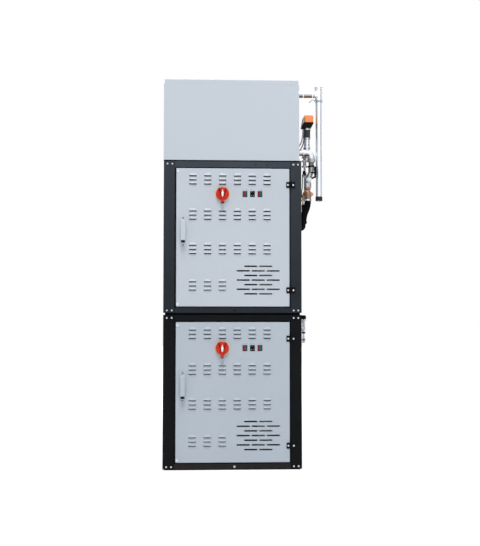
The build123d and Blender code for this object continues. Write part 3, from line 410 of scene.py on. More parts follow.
for unit in units:
    for finish, bevel, names in (
        (frame_paints[unit], 0.0015, "frame_posts"),
        (frame_paints[unit], 0.0008, "frame_rails"),
        (plate_paint, 0.0005, "base_plate top_plate"),
        (panel_paint, 0.0005, "wall_panels"),
        (hinge_casting, 0.0004, "frame_hinge_leaves door_hinge_leaves"),
        (door_paints[unit], 0.0008, "door_handle"),
        (switch_yellow, 0.0006, "switch_plate"),
        (switch_red, 0.0012, "switch_knob"),
        (switch_black, 0.0003, "switch_bezels"),
        (cladding, 0.002, "boiler_vessel"),
        (board_metal, 0.0005, "electrical_plate"),
    ):
        for name in names.split():
            dress(f"{unit}_{name}", finish, bevel)
    # Inward faces of the panels: a darker grey as painted shade.
    second_finish(f"{unit}_wall_panels", panel_inside_shade, lambda at, normal: at.xy.dot(normal.xy) < -0.1)
for finish, bevel, names in (
    (tank_paint, 0.0007, "tank_front_wall tank_back_wall tank_side_walls tank_base"),
    (tank_paint, 0.001, "tank_lid"),
    (tube_steel, 0.0006, "overflow_fitting overflow_pipe feed_pipe branch_pipe"),
    (tube_steel, 0.0005, "motor_collar"),
    (zinc, 0.0003, "hose_clamps"),
    (fitting_nickel, 0.0006, "shut_off_valve branch_valve"),
    (raw_brass, 0.001, "check_valve"),
    (raw_brass, 0.0006, "side_tap"),
    (sleeve_rubber, 0.0004, "overflow_sleeve"),
    (grey_nut_plastic, 0.001, "motor_nut"),
    (black_plastic, 0.002, "motor_housing"),
    (motor_orange, 0.002, "motor_cap"),
    (black_plastic, 0.0008, "pipe_clamp"),
    (black_plastic, 0.001, "valve_lever tap_knob"),
    (black_plastic, 0.0006, "inlet_elbow"),
    (hose_rubber, 0.0, "feed_hose"),
):
    for name in names.split():
        dress(name, finish, bevel)
# Top rail of the upper frame: lighter, as painted light.
second_finish("upper_frame_rails", top_rail_painted_light, lambda at, normal: at.z > 1.5)
second_finish("lower_frame_rails", foot_rail_paint, lambda at, normal: at.z < 0.1)
second_finish("motor_housing", grey_plastic, lambda at, normal: normal.x < -0.6)
print("dressed:", sum(1 for part in nodes.values() if part.data.materials))

# %% [markdown]
# ## A lathe and a joiner for small parts
#
# Screws, nuts, rings and washers are all turned shapes: one half outline spun round
# an axis. With six steps the same spin gives a hexagon. Many small parts of one
# finish are gathered in one mesh, which keeps the scene light and easy to name. Such
# a piece is a list of steps, each a shape with its place and its measures.

# %% Tools for small parts


def standing(at, towards):
    """A place whose own Z axis points along towards."""
    return Matrix.Translation(at) @ Vector(towards).to_track_quat("Z", "Y").to_matrix().to_4x4()


def full_turn(count, start=0.0):
    """The angles of equal steps round a circle."""
    return [start + 2 * math.pi * step / count for step in range(count)]


def new_face(mesh, corners):
    """Adds a face, unless its corners fall together."""
    corners = list(dict.fromkeys(corners))
    if len(corners) > 2:
        mesh.faces.new(corners)


def bridge(mesh, near, far):
    """Joins two equal closed loops of points with a band of faces."""
    loops = zip(near, near[1:] + near[:1], far[1:] + far[:1], far)
    return [mesh.faces.new(corners) for corners in loops]


def spin(mesh, at, towards, outline, steps=24, turn=0.0):
    """Adds a turned shape; outline holds (radius, height) from bottom to top."""
    place = standing(at, towards)
    rings = []
    for radius, height in outline:
        angles = full_turn(steps, turn)[: steps if radius > 1e-6 else 1]
        spots = [Vector((radius * math.cos(angle), radius * math.sin(angle), height)) for angle in angles]
        rings.append([mesh.verts.new(place @ spot) for spot in spots])
    for low, high in zip(rings, rings[1:]):
        if len(low) < steps:
            low = low * steps
        if len(high) < steps:
            high = high * steps
        for step in range(steps):
            after = (step + 1) % steps
            new_face(mesh, [low[step], low[after], high[after], high[step]])
    for end in (rings[0][::-1], rings[-1]):
        if len(end) > 2:
            mesh.faces.new(end)


def block(mesh, place, size, edge=0.0):
    """Adds a box with its middle at place; edge cuts its twelve edges off."""
    if not isinstance(place, Matrix):
        place = Matrix.Translation(place)
    made = bmesh.ops.create_cube(mesh, size=1.0, matrix=place @ Matrix.Diagonal((*size, 1.0)))
    if edge:
        edges = list(dict.fromkeys(e for v in made["verts"] for e in v.link_edges))
        bmesh.ops.bevel(mesh, geom=edges, offset=edge, segments=2, affect="EDGES", profile=0.6)


def plaque(mesh, origin, depth, outline):
    """Adds a flat plate; its outline, as (x, z), starts at origin and faces the viewer."""
    near = [mesh.verts.new((origin[0] + x, origin[1], origin[2] + z)) for x, z in outline]
    far = [mesh.verts.new((origin[0] + x, origin[1] + depth, origin[2] + z)) for x, z in outline]
    mesh.faces.new(near)
    mesh.faces.new(far[::-1])
    bridge(mesh, near, far)


def tube_along(mesh, points, radius, steps=12):
    """Adds a round tube through a list of points, with closed ends."""
    rings = []
    guide = None
    for index, point in enumerate(points):
        before = points[max(index - 1, 0)]
        after = points[min(index + 1, len(points) - 1)]
        along = (Vector(after) - Vector(before)).normalized()
        guide = guide or along.orthogonal().normalized()
        guide = (guide - along * guide.dot(along)).normalized()
        across = along.cross(guide)
        ring_of_points = []
        for angle in full_turn(steps):
            offset = guide * math.cos(angle) * radius + across * math.sin(angle) * radius
            ring_of_points.append(mesh.verts.new(Vector(point) + offset))
        rings.append(ring_of_points)
    for low, high in zip(rings, rings[1:]):
        bridge(mesh, low, high)
    mesh.faces.new(rings[0][::-1])
    mesh.faces.new(rings[-1])


sort_weights = Vector((1.0, 31.4159, 2.71828))


def make_piece(name, mesh, finishes, body, smooth=40.0):
    """Turns a finished bmesh into a piece that rides on a body of the model.

    A bevel leaves its points in any order. Sorting them makes each run the same.
    """
    bmesh.ops.remove_doubles(mesh, verts=mesh.verts, dist=0.0000002)
    bmesh.ops.recalc_face_normals(mesh, faces=mesh.faces)
    mesh.verts.sort(key=lambda vert: vert.co.dot(sort_weights))
    mesh.faces.sort(key=lambda face: face.calc_center_median().dot(sort_weights))
    for edge in mesh.edges:
        if len(edge.link_faces) == 2 and edge.calc_face_angle(0.0) > math.radians(smooth):
            edge.smooth = False
    for face in mesh.faces:
        face.smooth = True
    data = bpy.data.meshes.new(name)
    mesh.to_mesh(data)
    mesh.free()
    for finish in finishes:
        data.materials.append(finish)
    piece = link_object(name, data)
    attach(piece, body)
    return piece


def assemble(name, finish, body, *steps):
    """Makes one piece from steps, each a shape and what that shape is called with."""
    mesh = bmesh.new()
    for shape, *measures in steps:
        shape(mesh, *measures)
    return make_piece(name, mesh, [finish], body)


print("lathe and joiner ready")

# %% [markdown]
# Nuts and bolt heads have their sharp corners turned off on a lathe. A ring has broken
# edges, so its rim catches the light. A cross is sunk into the head of each pan-head
# screw, because that dark cross is what tells a screw from a rivet.

# %% Nuts, rings, threads and screws


def hex_head(mesh, at, towards, across, height, turn=0.0):
    """Adds a hexagon head with a rounded top."""
    corner = across / 2 / math.cos(math.pi / 6)
    outline = [(corner, 0), (corner, height * 0.8), (corner * 0.86, height), (0, height)]
    spin(mesh, at, towards, outline, 6, turn)


def hex_nut(mesh, low, towards, across, height, turn=0.0):
    """Adds a hexagon nut round a pipe, with its corners turned off at both ends."""
    corner = across / 2 / math.cos(math.pi / 6)
    cut = height * 0.08
    outline = [(across * 0.47, 0), (corner * 0.93, 0), (corner, cut)]
    outline += [(corner, height - cut), (corner * 0.93, height), (across * 0.47, height)]
    spin(mesh, low, towards, outline, 6, turn)


def ring(mesh, low, towards, radius, height, lip=0.0008):
    """Adds a round band with broken edges."""
    outline = [(radius - lip * 3, 0), (radius - lip, 0), (radius, lip), (radius, height - lip)]
    outline += [(radius - lip, height), (radius - lip * 3, height)]
    spin(mesh, low, towards, outline, 32)


def thread(mesh, low, towards, radius, height, pitch=0.0018, depth=0.0009):
    """Adds a screw thread as a stack of rings with slanted flanks."""
    outline = []
    turns = int(height / pitch)
    for turn in range(turns):
        outline += [(radius - depth, turn * pitch), (radius, (turn + 0.5) * pitch)]
    spin(mesh, low, towards, outline + [(radius - depth, turns * pitch)])


def cross_screw(mesh, at, towards, radius, height, turn=0.4):
    """Adds a pan-head screw with a cross-shaped recess cut in its top."""
    dome = [(1, 0), (1, 0.35), (0.9, 0.7), (0.6, 1), (0.56, 0.98)]
    spin(mesh, at, towards, [(radius * across, height * rise) for across, rise in dome], 20)
    place = standing(at, towards)
    arm, reach = radius * 0.13, radius * 0.5
    cross = []
    for quarter in range(4):
        spun = Matrix.Rotation(turn + quarter * math.pi / 2, 4, "Z")
        cross += [spun @ Vector((x, y, 0)) for x, y in ((reach, -arm), (reach, arm), (arm, arm))]
    top = [mesh.verts.new(place @ Vector((spot.x, spot.y, height * 0.985))) for spot in cross]
    low = [mesh.verts.new(place @ Vector((spot.x, spot.y, height * 0.55))) for spot in cross]
    bridge(mesh, top, low)
    mesh.faces.new(low)


print("shapes ready:", [shape.__name__ for shape in (hex_head, hex_nut, ring, thread, cross_screw)])

# %% [markdown]
# ## Doors with pressed louvres
#
# Each door is one sheet: 63 louvres are pressed outwards, 17 straight slots are
# punched, and the rim is folded back. A louvre is a half-moon hood that is cut free
# along its lower edge, so rain and fingers stay out while warm air gets through.
# Sheet metal is best modelled as one skin that is given its thickness at the end,
# because then the inside follows the outside by itself, as it does in the press.
# The flat face is one outline with many holes, filled in a single step.

# %% Louvre shape
louvre_half, louvre_height, louvre_out = 0.0206, 0.014, 0.006
slot_half, slot_drop = 0.0194, 0.005
press_margin = 0.0012
sheet = 0.0013
hood_columns, hood_rows = 14, 5
arch_power, end_power, lip_power = 2.8, 7, 1.15


def arch_point(index):
    """A point on the hood's foot: a full, slightly flattened half-moon."""
    x = -louvre_half * math.cos(math.pi * index / hood_columns)
    rest = 1.0 - abs(x / louvre_half) ** arch_power
    return x, louvre_height * max(rest, 0.0) ** (1 / arch_power)


def hood_reach(x, share):
    """How far the hood stands out: share runs from 0 at its foot to 1 at the lip."""
    across = max(1.0 - abs(x / louvre_half) ** end_power, 0.0) ** 0.5
    return louvre_out * across * (1.0 - (1.0 - share) ** lip_power)


foot = [arch_point(index) for index in range(hood_columns + 1)]
cut = foot + [(slot_half, 0.0), (slot_half, -slot_drop), (-slot_half, -slot_drop), (-slot_half, 0.0)]
print("points round one louvre:", len(cut))

# %% [markdown]
# The ring between the hood and the flat sheet is only 1.2 mm wide. It keeps the
# smooth shading of the hood from running out over the sheet, and reads as the small
# radius that the press leaves.

# %% One louvre, and the rows of them


def widen(points, margin):
    """The same closed outline, moved outwards by a margin."""
    out = []
    for index, (x, z) in enumerate(points):
        ax, az = points[index - 1]
        bx, bz = points[(index + 1) % len(points)]
        normal = Vector((-(bz - az), bx - ax)).normalized()
        out.append((x + normal.x * margin, z + normal.y * margin))
    return out


cut_edge = widen(cut, press_margin)


def press_louvre(mesh, x, z):
    """Adds one hood and its narrow ring; gives back the ring's outer points."""
    outer = [mesh.verts.new((x + px, front, z + pz)) for px, pz in cut_edge]
    inner = [mesh.verts.new((x + px, front, z + pz)) for px, pz in cut]
    bridge(mesh, outer, inner)
    columns = []
    for index, (px, pz) in enumerate(foot):
        column = [inner[index]] * (hood_rows + 1)
        if 0 < index < hood_columns:
            for row in range(1, hood_rows + 1):
                share = row / hood_rows
                column[row] = mesh.verts.new((x + px, front - hood_reach(px, share), z + pz * (1 - share)))
        columns.append(column)
    for near, far in zip(columns, columns[1:]):
        for row in range(hood_rows):
            new_face(mesh, [near[row], near[row + 1], far[row + 1], far[row]])
    return outer


louvre_margin = 0.0885
louvre_pitch_x, louvre_pitch_z = 0.0796, 0.022
group_drop = 0.0395
group_drops = (0.0, 0.1895, 0.3737, 0.5685)
louvre_places = []
for group, columns_in_group in enumerate((6, 6, 6, 3)):
    for row in range(3):
        for column in range(columns_in_group):
            place_x = door_low.x + louvre_margin + column * louvre_pitch_x
            place_z = door_high.z - group_drop - group_drops[group] - row * louvre_pitch_z
            louvre_places.append((place_x, place_z))
print("louvres on one door:", len(louvre_places))

# %% [markdown]
# The straight slots lie in rows of two and three, staggered like bricks, so that the
# bridges between them stay strong.

# %% Straight slots and switch holes
vent_half = (0.035, 0.004)
vent_pitch = (0.08, 0.0246)
vent_x, vent_top = door_high.x - 0.1682, door_high.z - 0.5268
corner_steps = 4


def rounded_box(x, z, half_w, half_h, radius):
    """A rectangle with round corners, as a closed list of points."""
    points = []
    for sx, sz, start in ((1, 1, 0), (-1, 1, 90), (-1, -1, 180), (1, -1, 270)):
        for step in range(corner_steps + 1):
            angle = math.radians(start + 90 * step / corner_steps)
            px = x + sx * (half_w - radius) + radius * math.cos(angle)
            pz = z + sz * (half_h - radius) + radius * math.sin(angle)
            points.append((px, pz))
    return points


holes = []
for row, count in enumerate((2, 3, 2, 3, 2, 3, 2)):
    for index in range(count):
        hole_x = vent_x + (index - (count - 1) / 2) * vent_pitch[0]
        holes.append(rounded_box(hole_x, vent_top - row * vent_pitch[1], *vent_half, 0.0028))
door_mid_x = (door_low.x + door_high.x) / 2
switch_x, switch_z = door_mid_x - 0.05675, door_high.z - 0.1385
rocker_xs = [door_mid_x + 0.06425 + index * 0.0402 for index in range(3)]
holes.append(rounded_box(switch_x, switch_z, 0.012, 0.012, 0.0119))
holes += [rounded_box(rocker_x, switch_z, 0.0121, 0.0151, 0.0005) for rocker_x in rocker_xs]
print("holes punched:", len(holes))

# %% [markdown]
# Face, louvres, slots, holes and the folded rim join into one sheet, which then gets
# its thickness. The sheet replaces the imported door, which is hidden, and is
# parented to the door's body.

# %% The whole door skin
fold_radius, fold_steps, fold_depth = 0.0045, 5, door_high.y - front
flat_margin = 0.0015


def door_skin(unit):
    """One door: face with louvres and holes, folded rim, then sheet thickness."""
    mesh = bmesh.new()
    rims = [(fold_radius + flat_margin, 0.0)]
    for step in range(fold_steps + 1):
        angle = math.radians(90 * step / fold_steps)
        rims.append((fold_radius * (1 - math.sin(angle)), fold_radius * (1 - math.cos(angle))))
    rings = []
    for inset, depth in rims + [(0.0, fold_depth)]:
        low_x, high_x = door_low.x + inset, door_high.x - inset
        low_z, high_z = door_low.z + inset, door_high.z - inset
        corners = ((low_x, low_z), (high_x, low_z), (high_x, high_z), (low_x, high_z))
        rings.append([mesh.verts.new((x, front + depth, z)) for x, z in corners])
    for near, far in zip(rings, rings[1:]):
        bridge(mesh, near, far)
    loops = [rings[0]]
    loops += [press_louvre(mesh, x, z) for x, z in louvre_places]
    loops += [[mesh.verts.new((x, front, z)) for x, z in hole] for hole in holes]
    flat = [vertex for loop in loops for vertex in loop]
    for triangle in tessellate_polygon([[v.co for v in loop] for loop in loops]):
        mesh.faces.new([flat[index] for index in triangle])
    bmesh.ops.recalc_face_normals(mesh, faces=mesh.faces)
    if sum(face.normal.y * face.calc_area() for face in mesh.faces) > 0:
        bmesh.ops.reverse_faces(mesh, faces=mesh.faces)
    for face in mesh.faces:
        face.smooth = True
    for edge in mesh.edges:
        if len(edge.link_faces) < 2 or edge.calc_face_angle(0.0) > math.radians(50):
            edge.smooth = False
    bmesh.ops.translate(mesh, verts=mesh.verts, vec=(0, 0, levels[unit]))
    data = bpy.data.meshes.new(f"{unit}_door_skin")
    mesh.to_mesh(data)
    mesh.free()
    data.materials.append(door_paints[unit])
    data.materials.append(door_back_shade)
    skin = link_object(f"{unit}_door_skin", data)
    thick = skin.modifiers.new("sheet_thickness", "SOLIDIFY")
    thick.thickness = sheet
    thick.offset = -1.0
    # The back face and the cut edges take the second, near-black finish: painted shade in the slots and under
    # the louvres.
    thick.material_offset = 1
    thick.material_offset_rim = 1
    thick.use_even_offset = False
    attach(skin, f"{unit}_door")
    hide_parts(f"{unit}_door")
    return skin


for unit in units:
    skin = door_skin(unit)
    print(skin.name, "faces:", len(skin.data.polygons))

# %% [markdown]
# ## Rocker switches
#
# Each bezel holds two lit rockers side by side. The left and right pair have one red
# and one green lens, and the middle pair is black with small white marks. A rocker
# is a shallow hollow from side to side, pressed in at one end, so its outline is
# drawn from the side and extruded to its width, then all its edges are broken.

# %% Rocker keys
key_half_w, key_half_h = 0.0044, 0.0126
key_step = 0.0049
key_top = front - 0.0015
key_back = key_top + 0.006
profile_steps = 8


def rocker_face(share):
    """How deep the rocker's face lies, from 0 at its top to 1 at its dished foot."""
    return key_top - 0.0022 + 0.0033 * share + 0.0007 * (1 - (2 * share - 1) ** 2)


def add_rocker(mesh, x, z, material):
    """Adds one rocker key with broken edges."""
    shares = [step / profile_steps for step in range(profile_steps + 1)]
    outline = [(rocker_face(share), key_half_h * (1 - 2 * share)) for share in shares]
    outline += [(key_back, -key_half_h), (key_back, key_half_h)]
    near = [mesh.verts.new((x - key_half_w, y, z + dz)) for y, dz in outline]
    far = [mesh.verts.new((x + key_half_w, y, z + dz)) for y, dz in outline]
    made = [mesh.faces.new(near), mesh.faces.new(far[::-1]), *bridge(mesh, near, far)]
    edges = dict.fromkeys(edge for face in made for edge in face.edges if edge.calc_length() > 0)
    sharp = [edge for edge in edges if edge.calc_face_angle(0.0) > math.radians(50)]
    result = bmesh.ops.bevel(mesh, geom=sharp, offset=0.0005, segments=2, affect="EDGES")
    for face in made + result["faces"]:
        if face.is_valid:
            face.material_index = material


for unit in units:
    mesh = bmesh.new()
    for index, rocker_x in enumerate(rocker_xs):
        for hand in (-1, 1):
            colour = 0 if index == 1 else (1 if hand < 0 else 2)
            add_rocker(mesh, rocker_x + hand * key_step, levels[unit] + switch_z, colour)
    keys = make_piece(f"{unit}_rocker_lenses", mesh, [switch_black, lens_red, lens_green], f"{unit}_door")
    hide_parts(f"{unit}_rocker_keys")
print("rocker keys made:", len(units) * len(rocker_xs) * 2)

# %% [markdown]
# The marks are generic: two dots on each black key, and small signs over the
# switches for off, on and mode. They are thin raised shapes, 0.15 mm proud, like
# screen print.

# %% Printed marks on keys and door
print_rise = 0.00015
dot_sink = 0.0001
dots = ((0.0078, 0.0007), (-0.0066, 0.0013))
sign_drift, sign_lift = 0.0075, 0.0225
sign_r, stroke_gap, stroke_w, stroke_h = 0.0028, 0.0028, 0.0013, 0.0045
for unit in units:
    level = levels[unit] + switch_z
    steps = []
    for hand in (-1, 1):
        for lift, radius in dots:
            depth = rocker_face(0.5 - lift / (2 * key_half_h))
            at = (rocker_xs[1] + hand * key_step, depth + dot_sink, level + lift)
            rise = print_rise + dot_sink
            steps.append((spin, at, fore, [(radius, 0), (radius, rise), (0, rise)], 14))
    assemble(f"{unit}_key_marks", mark_white, f"{unit}_door", *steps)
    steps = []
    for index, rocker_x in enumerate(rocker_xs):
        for hand in (-1, 1):
            at = Vector((rocker_x + hand * sign_drift, front, level + sign_lift))
            if (index + (hand > 0)) % 2 == 0:
                sign = [(sign_r, 0), (sign_r, print_rise), (0, print_rise)]
                steps.append((spin, at, fore, sign, 3, math.pi / 2))
                continue
            for shift in (-stroke_gap, 0.0, stroke_gap):
                stroke = at + Vector((shift, -print_rise / 2, 0))
                steps.append((block, stroke, (stroke_w, print_rise, stroke_h)))
    assemble(f"{unit}_switch_signs", mark_grey, f"{unit}_door", *steps)
print("marks printed: dots", len(dots) * 2, "signs", len(rocker_xs) * 2, "on each door")

# %% [markdown]
# ## Main switch
#
# The red knob is a disc with a raised grip: wide at the top, waisted in the middle,
# and drawn out below into a lever that reaches past the disc. The grip is built from
# a few outlines stacked towards the viewer, each a little smaller than the last, so
# that its edges come out round. Its flanks beside the neck and its foot lie in shade,
# and take two darker reds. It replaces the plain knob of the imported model.

# %% Knob with its grip
knob_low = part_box("upper_switch_knob")[0]
knob_base = front - 0.003
knob_rise = knob_base - knob_low.y
grip_top, grip_foot, tail_start = 0.0325, -0.0525, -0.012
grip_line = [
    (0.006, 0.0325), (0.0125, 0.0315), (0.018, 0.0285), (0.0158, 0.02), (0.0125, 0.01), (0.0095, 0),
    (0.008, -0.01), (0.0074, -0.02), (0.0074, -0.034), (0.0084, -0.045), (0.008, -0.051), (0.0045, -0.0525),
]
grip_steps = [
    (-0.0026, 0.002), (-0.0026, 0.0118), (0.0012, 0.0235),
    (0.0022, 0.0265), (0.003, 0.0282), (0.0042, knob_rise - 0.0002),
]
disc = [
    (0, 0), (0.0335, 0), (0.0345, 0.0008), (0.0345, 0.0092),
    (0.034, 0.0106), (0.0328, 0.0118), (0.031, 0.012), (0, 0.0122),
]


def grip_ring(mesh, z, inset, rise):
    """One outline of the grip, drawn in by inset at a given rise."""
    half = []
    for x, dz in grip_line:
        drawn_in = inset * min(max(x / 0.009, 0.8), 1.9)
        if dz < tail_start:
            drawn_in = max(drawn_in, 0.0)
        half.append((max(x - drawn_in, 0.0015), min(max(dz, inset + grip_foot), grip_top - inset)))
    whole = half + [(-x, dz) for x, dz in reversed(half)]
    return [mesh.verts.new((switch_x + x, knob_base - rise, z + dz)) for x, dz in whole]


for unit in units:
    mesh = bmesh.new()
    level = levels[unit] + switch_z
    spin(mesh, (switch_x, knob_base, level), fore, disc, 64)
    rings = [grip_ring(mesh, level, inset, rise) for inset, rise in grip_steps]
    for tier, (low, high) in enumerate(zip(rings, rings[1:])):
        for face in bridge(mesh, low, high):
            middle_z = face.calc_center_median().z
            if middle_z < level - 0.0455:
                face.material_index = 1
            elif level - 0.016 < middle_z < level + 0.031 and tier < 2:
                face.material_index = 2
    mesh.faces.new(rings[-1])
    mesh.faces.new(rings[0][::-1])
    reds = [switch_red, deep_red, shaded_red]
    knob = make_piece(f"{unit}_knob_with_grip", mesh, reds, f"{unit}_switch", 38.0)
    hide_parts(f"{unit}_switch_knob")
print("knob rise:", round(knob_rise, 4))

# %% [markdown]
# A white pointer is let into the grip: a narrow stem, a broad middle and a foot.

# %% White pointer on the knob
pointer = [
    (-0.0016, 0.019), (0.0016, 0.019), (0.003, 0.008), (0.0062, 0.0045), (0.0066, -0.003),
    (0.0046, -0.006), (0.0044, -0.017), (-0.0044, -0.017), (-0.0046, -0.006),
    (-0.0066, -0.003), (-0.0062, 0.0045), (-0.003, 0.008),
]
for unit in units:
    at = (switch_x, knob_low.y, levels[unit] + switch_z)
    assemble(f"{unit}_switch_pointer", mark_white, f"{unit}_switch", (plaque, at, 0.0012, pointer))
print("pointers inlaid at", round(knob_low.y, 4))

# %% [markdown]
# ## Bolts, screws and buttons
#
# Zinc-plated hexagon bolts pull the rails to the posts, two at each corner. Pan-head
# screws hold the hinges, handles and panels. Each head is a turned shape on a washer.

# %% Frame bolts
bolt_xs = (-0.35, -0.324, 0.326, 0.351)
bolt_heights = (0.0185, 0.8036)
bolt_size = (0.0095, 0.0045)
for unit in units:
    steps = []
    for z in bolt_heights:
        for index, x in enumerate(bolt_xs):
            steps.append((hex_head, (x, front, levels[unit] + z), fore, *bolt_size, 0.3 * index + z))
            steps.append((hex_head, (x, back, levels[unit] + z), aft, *bolt_size, 0.4 * index + z))
    assemble(f"{unit}_frame_bolts", zinc, "boiler", *steps)
print("frame bolts:", len(units) * len(bolt_heights) * len(bolt_xs) * 2)

# %% [markdown]
# Black discs fill the two cable holes in each top rail and the eye in the upper
# cabinet's bottom rail. They sit a little below the face and are painted shade: they
# make the holes read dark.

# %% Painted shade in the rail holes
hole_shade_sink = 0.0025
eye_x, eye_z = 0.0105, 0.0185
for unit in units:
    spots = [(0.124, 0.803, 0.0029), (0.184, 0.803, 0.0029)]
    if unit == "upper":
        spots.append((eye_x, eye_z, 0.0056))
    steps = []
    for x, z, radius in spots:
        outline = [(radius, 0), (radius, 0.001), (radius * 0.7, 0.0017), (0, 0.0012)]
        steps.append((spin, (x, front + hole_shade_sink, levels[unit] + z), fore, outline, 20))
    assemble(f"{unit}_rail_hole_shade", switch_black, "boiler", *steps)
print("rail plugs set, the last at", spots[-1][:2])

# %% [markdown]
# Black strips fill the gap between each door and the frame, and the joint under the
# tank. They are painted shade: the thin dark lines of shade in these gaps, which make
# the casing read as separate sheets.

# %% Painted shade in the gaps
opening_half = 0.31
gap_shade_y, gap_shade_deep, gap_shade_thin = front + 0.01, 0.014, 0.0044
for unit in units:
    level = levels[unit]
    low_z, high_z = level + door_low.z - 0.005, level + door_high.z + 0.005
    mid_z, tall = (low_z + high_z) / 2, high_z - low_z
    steps = []
    for low_x, high_x in ((-opening_half, door_low.x - 0.0006), (door_high.x + 0.0006, opening_half)):
        at = ((low_x + high_x) / 2, gap_shade_y, mid_z)
        steps.append((block, at, (high_x - low_x, gap_shade_deep, tall), 0.0008))
    for z in (low_z + gap_shade_thin / 2, high_z - gap_shade_thin / 2):
        steps.append((block, (0, gap_shade_y, z), (2 * opening_half, gap_shade_deep, gap_shade_thin), 0.0008))
    assemble(f"{unit}_door_gap_shade", switch_black, "boiler", *steps)
joint_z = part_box("tank_front_wall")[0].z
joint_shade_thick, joint_shade_tall = 0.0016, 0.0048
joint_shade_z = joint_z - joint_shade_tall / 2
# Painted shade: a thin black strip in the joint under the tank.
steps = [(block, (0, y, joint_shade_z), (2 * side - 0.004, joint_shade_thick, joint_shade_tall), 0.0004) for y in (front, back)]
steps += [(block, (x, 0, joint_shade_z), (joint_shade_thick, 2 * back - 0.004, joint_shade_tall), 0.0004) for x in (-side, side)]
assemble("tank_joint_shade", switch_black, "boiler", *steps)
print("tank joint at", round(joint_z, 3))

# %% [markdown]
# Hinges and handles are screwed on. White plastic buttons close the spare holes near
# the door's left corners, and a dark block low on the face of the handle is painted
# shade, where the handle's lower end lies in shadow.

# %% Hinge screws, handle screws and door buttons
hinge_heights = (door_low.z + 0.0875, door_high.z - 0.0885)
handle_low, handle_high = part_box("lower_door_handle")
handle_x = (handle_low.x + handle_high.x) / 2
handle_heights = (handle_low.z + 0.006, handle_high.z - 0.009)
button_heights = (door_low.z + 0.013, door_high.z - 0.0178)
hinge_screw = (0.0055, 0.003)
button = [(0.0062, 0), (0.006, 0.0012), (0.0045, 0.0022), (0, 0.0026)]
for unit in units:
    level, door = levels[unit], f"{unit}_door"
    for name, body, x, turn in (("frame_hinge", "boiler", 0.325, 0.4), ("door", door, 0.297, 0.9)):
        spots = [(x, front - 0.003, level + z) for z in hinge_heights]
        steps = [(cross_screw, at, fore, *hinge_screw, turn) for at in spots]
        assemble(f"{unit}_{name}_screws", zinc, body, *steps)
    spots = [(handle_x, front - 0.004, level + z) for z in handle_heights]
    steps = [(cross_screw, at, fore, 0.0036, 0.0024, 0.2) for at in spots]
    assemble(f"{unit}_handle_screws", grey_plastic, door, *steps)
    steps = [(spin, (-0.2945, front, level + z), fore, button) for z in button_heights]
    assemble(f"{unit}_door_buttons", mark_white, door, *steps)
    # Painted shade: a black block where the handle's lower end is in shade.
    at = (handle_x, handle_low.y - 0.0002, level + handle_low.z + 0.024)
    assemble(f"{unit}_handle_shade_block", black_plastic, door, (block, at, (0.0205, 0.0016, 0.013), 0.0005))
print("hinge heights:", [round(z, 4) for z in hinge_heights])

# %% [markdown]
# The lower cabinet has a bright socket screw in the middle hole of its bottom rail,
# where the upper one has a black disc of painted shade.

# %% Socket screw in the lowest rail
socket_head = [(0.0058, 0), (0.0058, 0.003), (0.005, 0.0038), (0.0032, 0.0038), (0.003, 0.0012), (0, 0.0012)]
assemble("rail_socket_screw", zinc, "boiler", (spin, (eye_x, front, eye_z), fore, socket_head))
print("socket screw set at", (eye_x, eye_z))

# %% [markdown]
# ## Tank screws
#
# The side walls of the tank are screwed to the folds of the front and back walls.
# Only the two upper heads show in outline from the front. A brass plug closes the
# tank's drain on the right, low down, beside the feed pipe.

# %% Screws and plug on the tank's sides
tank_low, tank_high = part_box("tank_side_walls")
panel_screw = (0.0042, 0.0024)
steps = []
for x, towards in ((tank_low.x + 0.0024, left), (tank_high.x, right)):
    for y in (front + 0.026, back - 0.066):
        for z in (tank_low.z + 0.035, tank_low.z + 0.2065, tank_high.z - 0.009):
            steps.append((cross_screw, (x, y, z), towards, *panel_screw))
assemble("tank_screws", zinc, "boiler", *steps)
pipe_low, pipe_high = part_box("overflow_pipe")
over_x = (pipe_low.x + pipe_high.x) / 2
pipe_y = (pipe_low.y + pipe_high.y) / 2
wall_x = tank_high.x
plug_z = tank_low.z + 0.019
assemble(
    "tank_drain_plug", raw_brass, "boiler",
    (hex_nut, (wall_x - 0.001, pipe_y, plug_z), right, 0.022, 0.007),
    (ring, (wall_x + 0.005, pipe_y, plug_z), right, 0.008, 0.007))
print("pipe plane:", round(pipe_y, 3), "overflow at", round(over_x, 3))

# %% [markdown]
# ## Overflow line
#
# The overflow is press-fitted stainless pipe: each joint shows as a round bead where
# the seal sits. A hinged pipe clamp with a swing bolt holds the drop pipe under the
# tee. Beads and bands are turned rings, slightly larger than the pipe they sit on.

# %% Beads, bands and the swing clamp
tee_low, tee_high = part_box("overflow_fitting")
arm_level = tee_high.z - 0.0395
pipe_r = 0.017
assemble(
    "overflow_beads", bead_steel, "boiler",
    (ring, (wall_x - 0.0005, pipe_y, arm_level), right, 0.024, 0.0035),
    (ring, (0.389, pipe_y, arm_level), right, 0.02, 0.006, 0.0012),
    (ring, (0.4395, pipe_y, arm_level), right, 0.0206, 0.0075, 0.0012),
    (ring, (over_x, pipe_y, tee_low.z + 0.002), up, 0.0202, 0.0055, 0.0014),
    (ring, (over_x, pipe_y, tee_high.z - 0.0125), up, 0.02, 0.004, 0.0012))
clamp_z = tee_low.z - 0.013
assemble(
    "overflow_clamp", zinc, "boiler",
    (ring, (over_x, pipe_y, clamp_z), up, pipe_r + 0.0022, 0.008, 0.0006),
    (block, (over_x - 0.0205, pipe_y - 0.002, clamp_z + 0.004), (0.007, 0.01, 0.008), 0.001),
    (block, (over_x + 0.0205, pipe_y - 0.002, clamp_z + 0.004), (0.006, 0.008, 0.007), 0.001))
bolt_line = [(-0.0215, 0.005), (-0.027, 0.011), (-0.0335, 0.0125), (-0.043, 0.006), (-0.054, -0.004)]
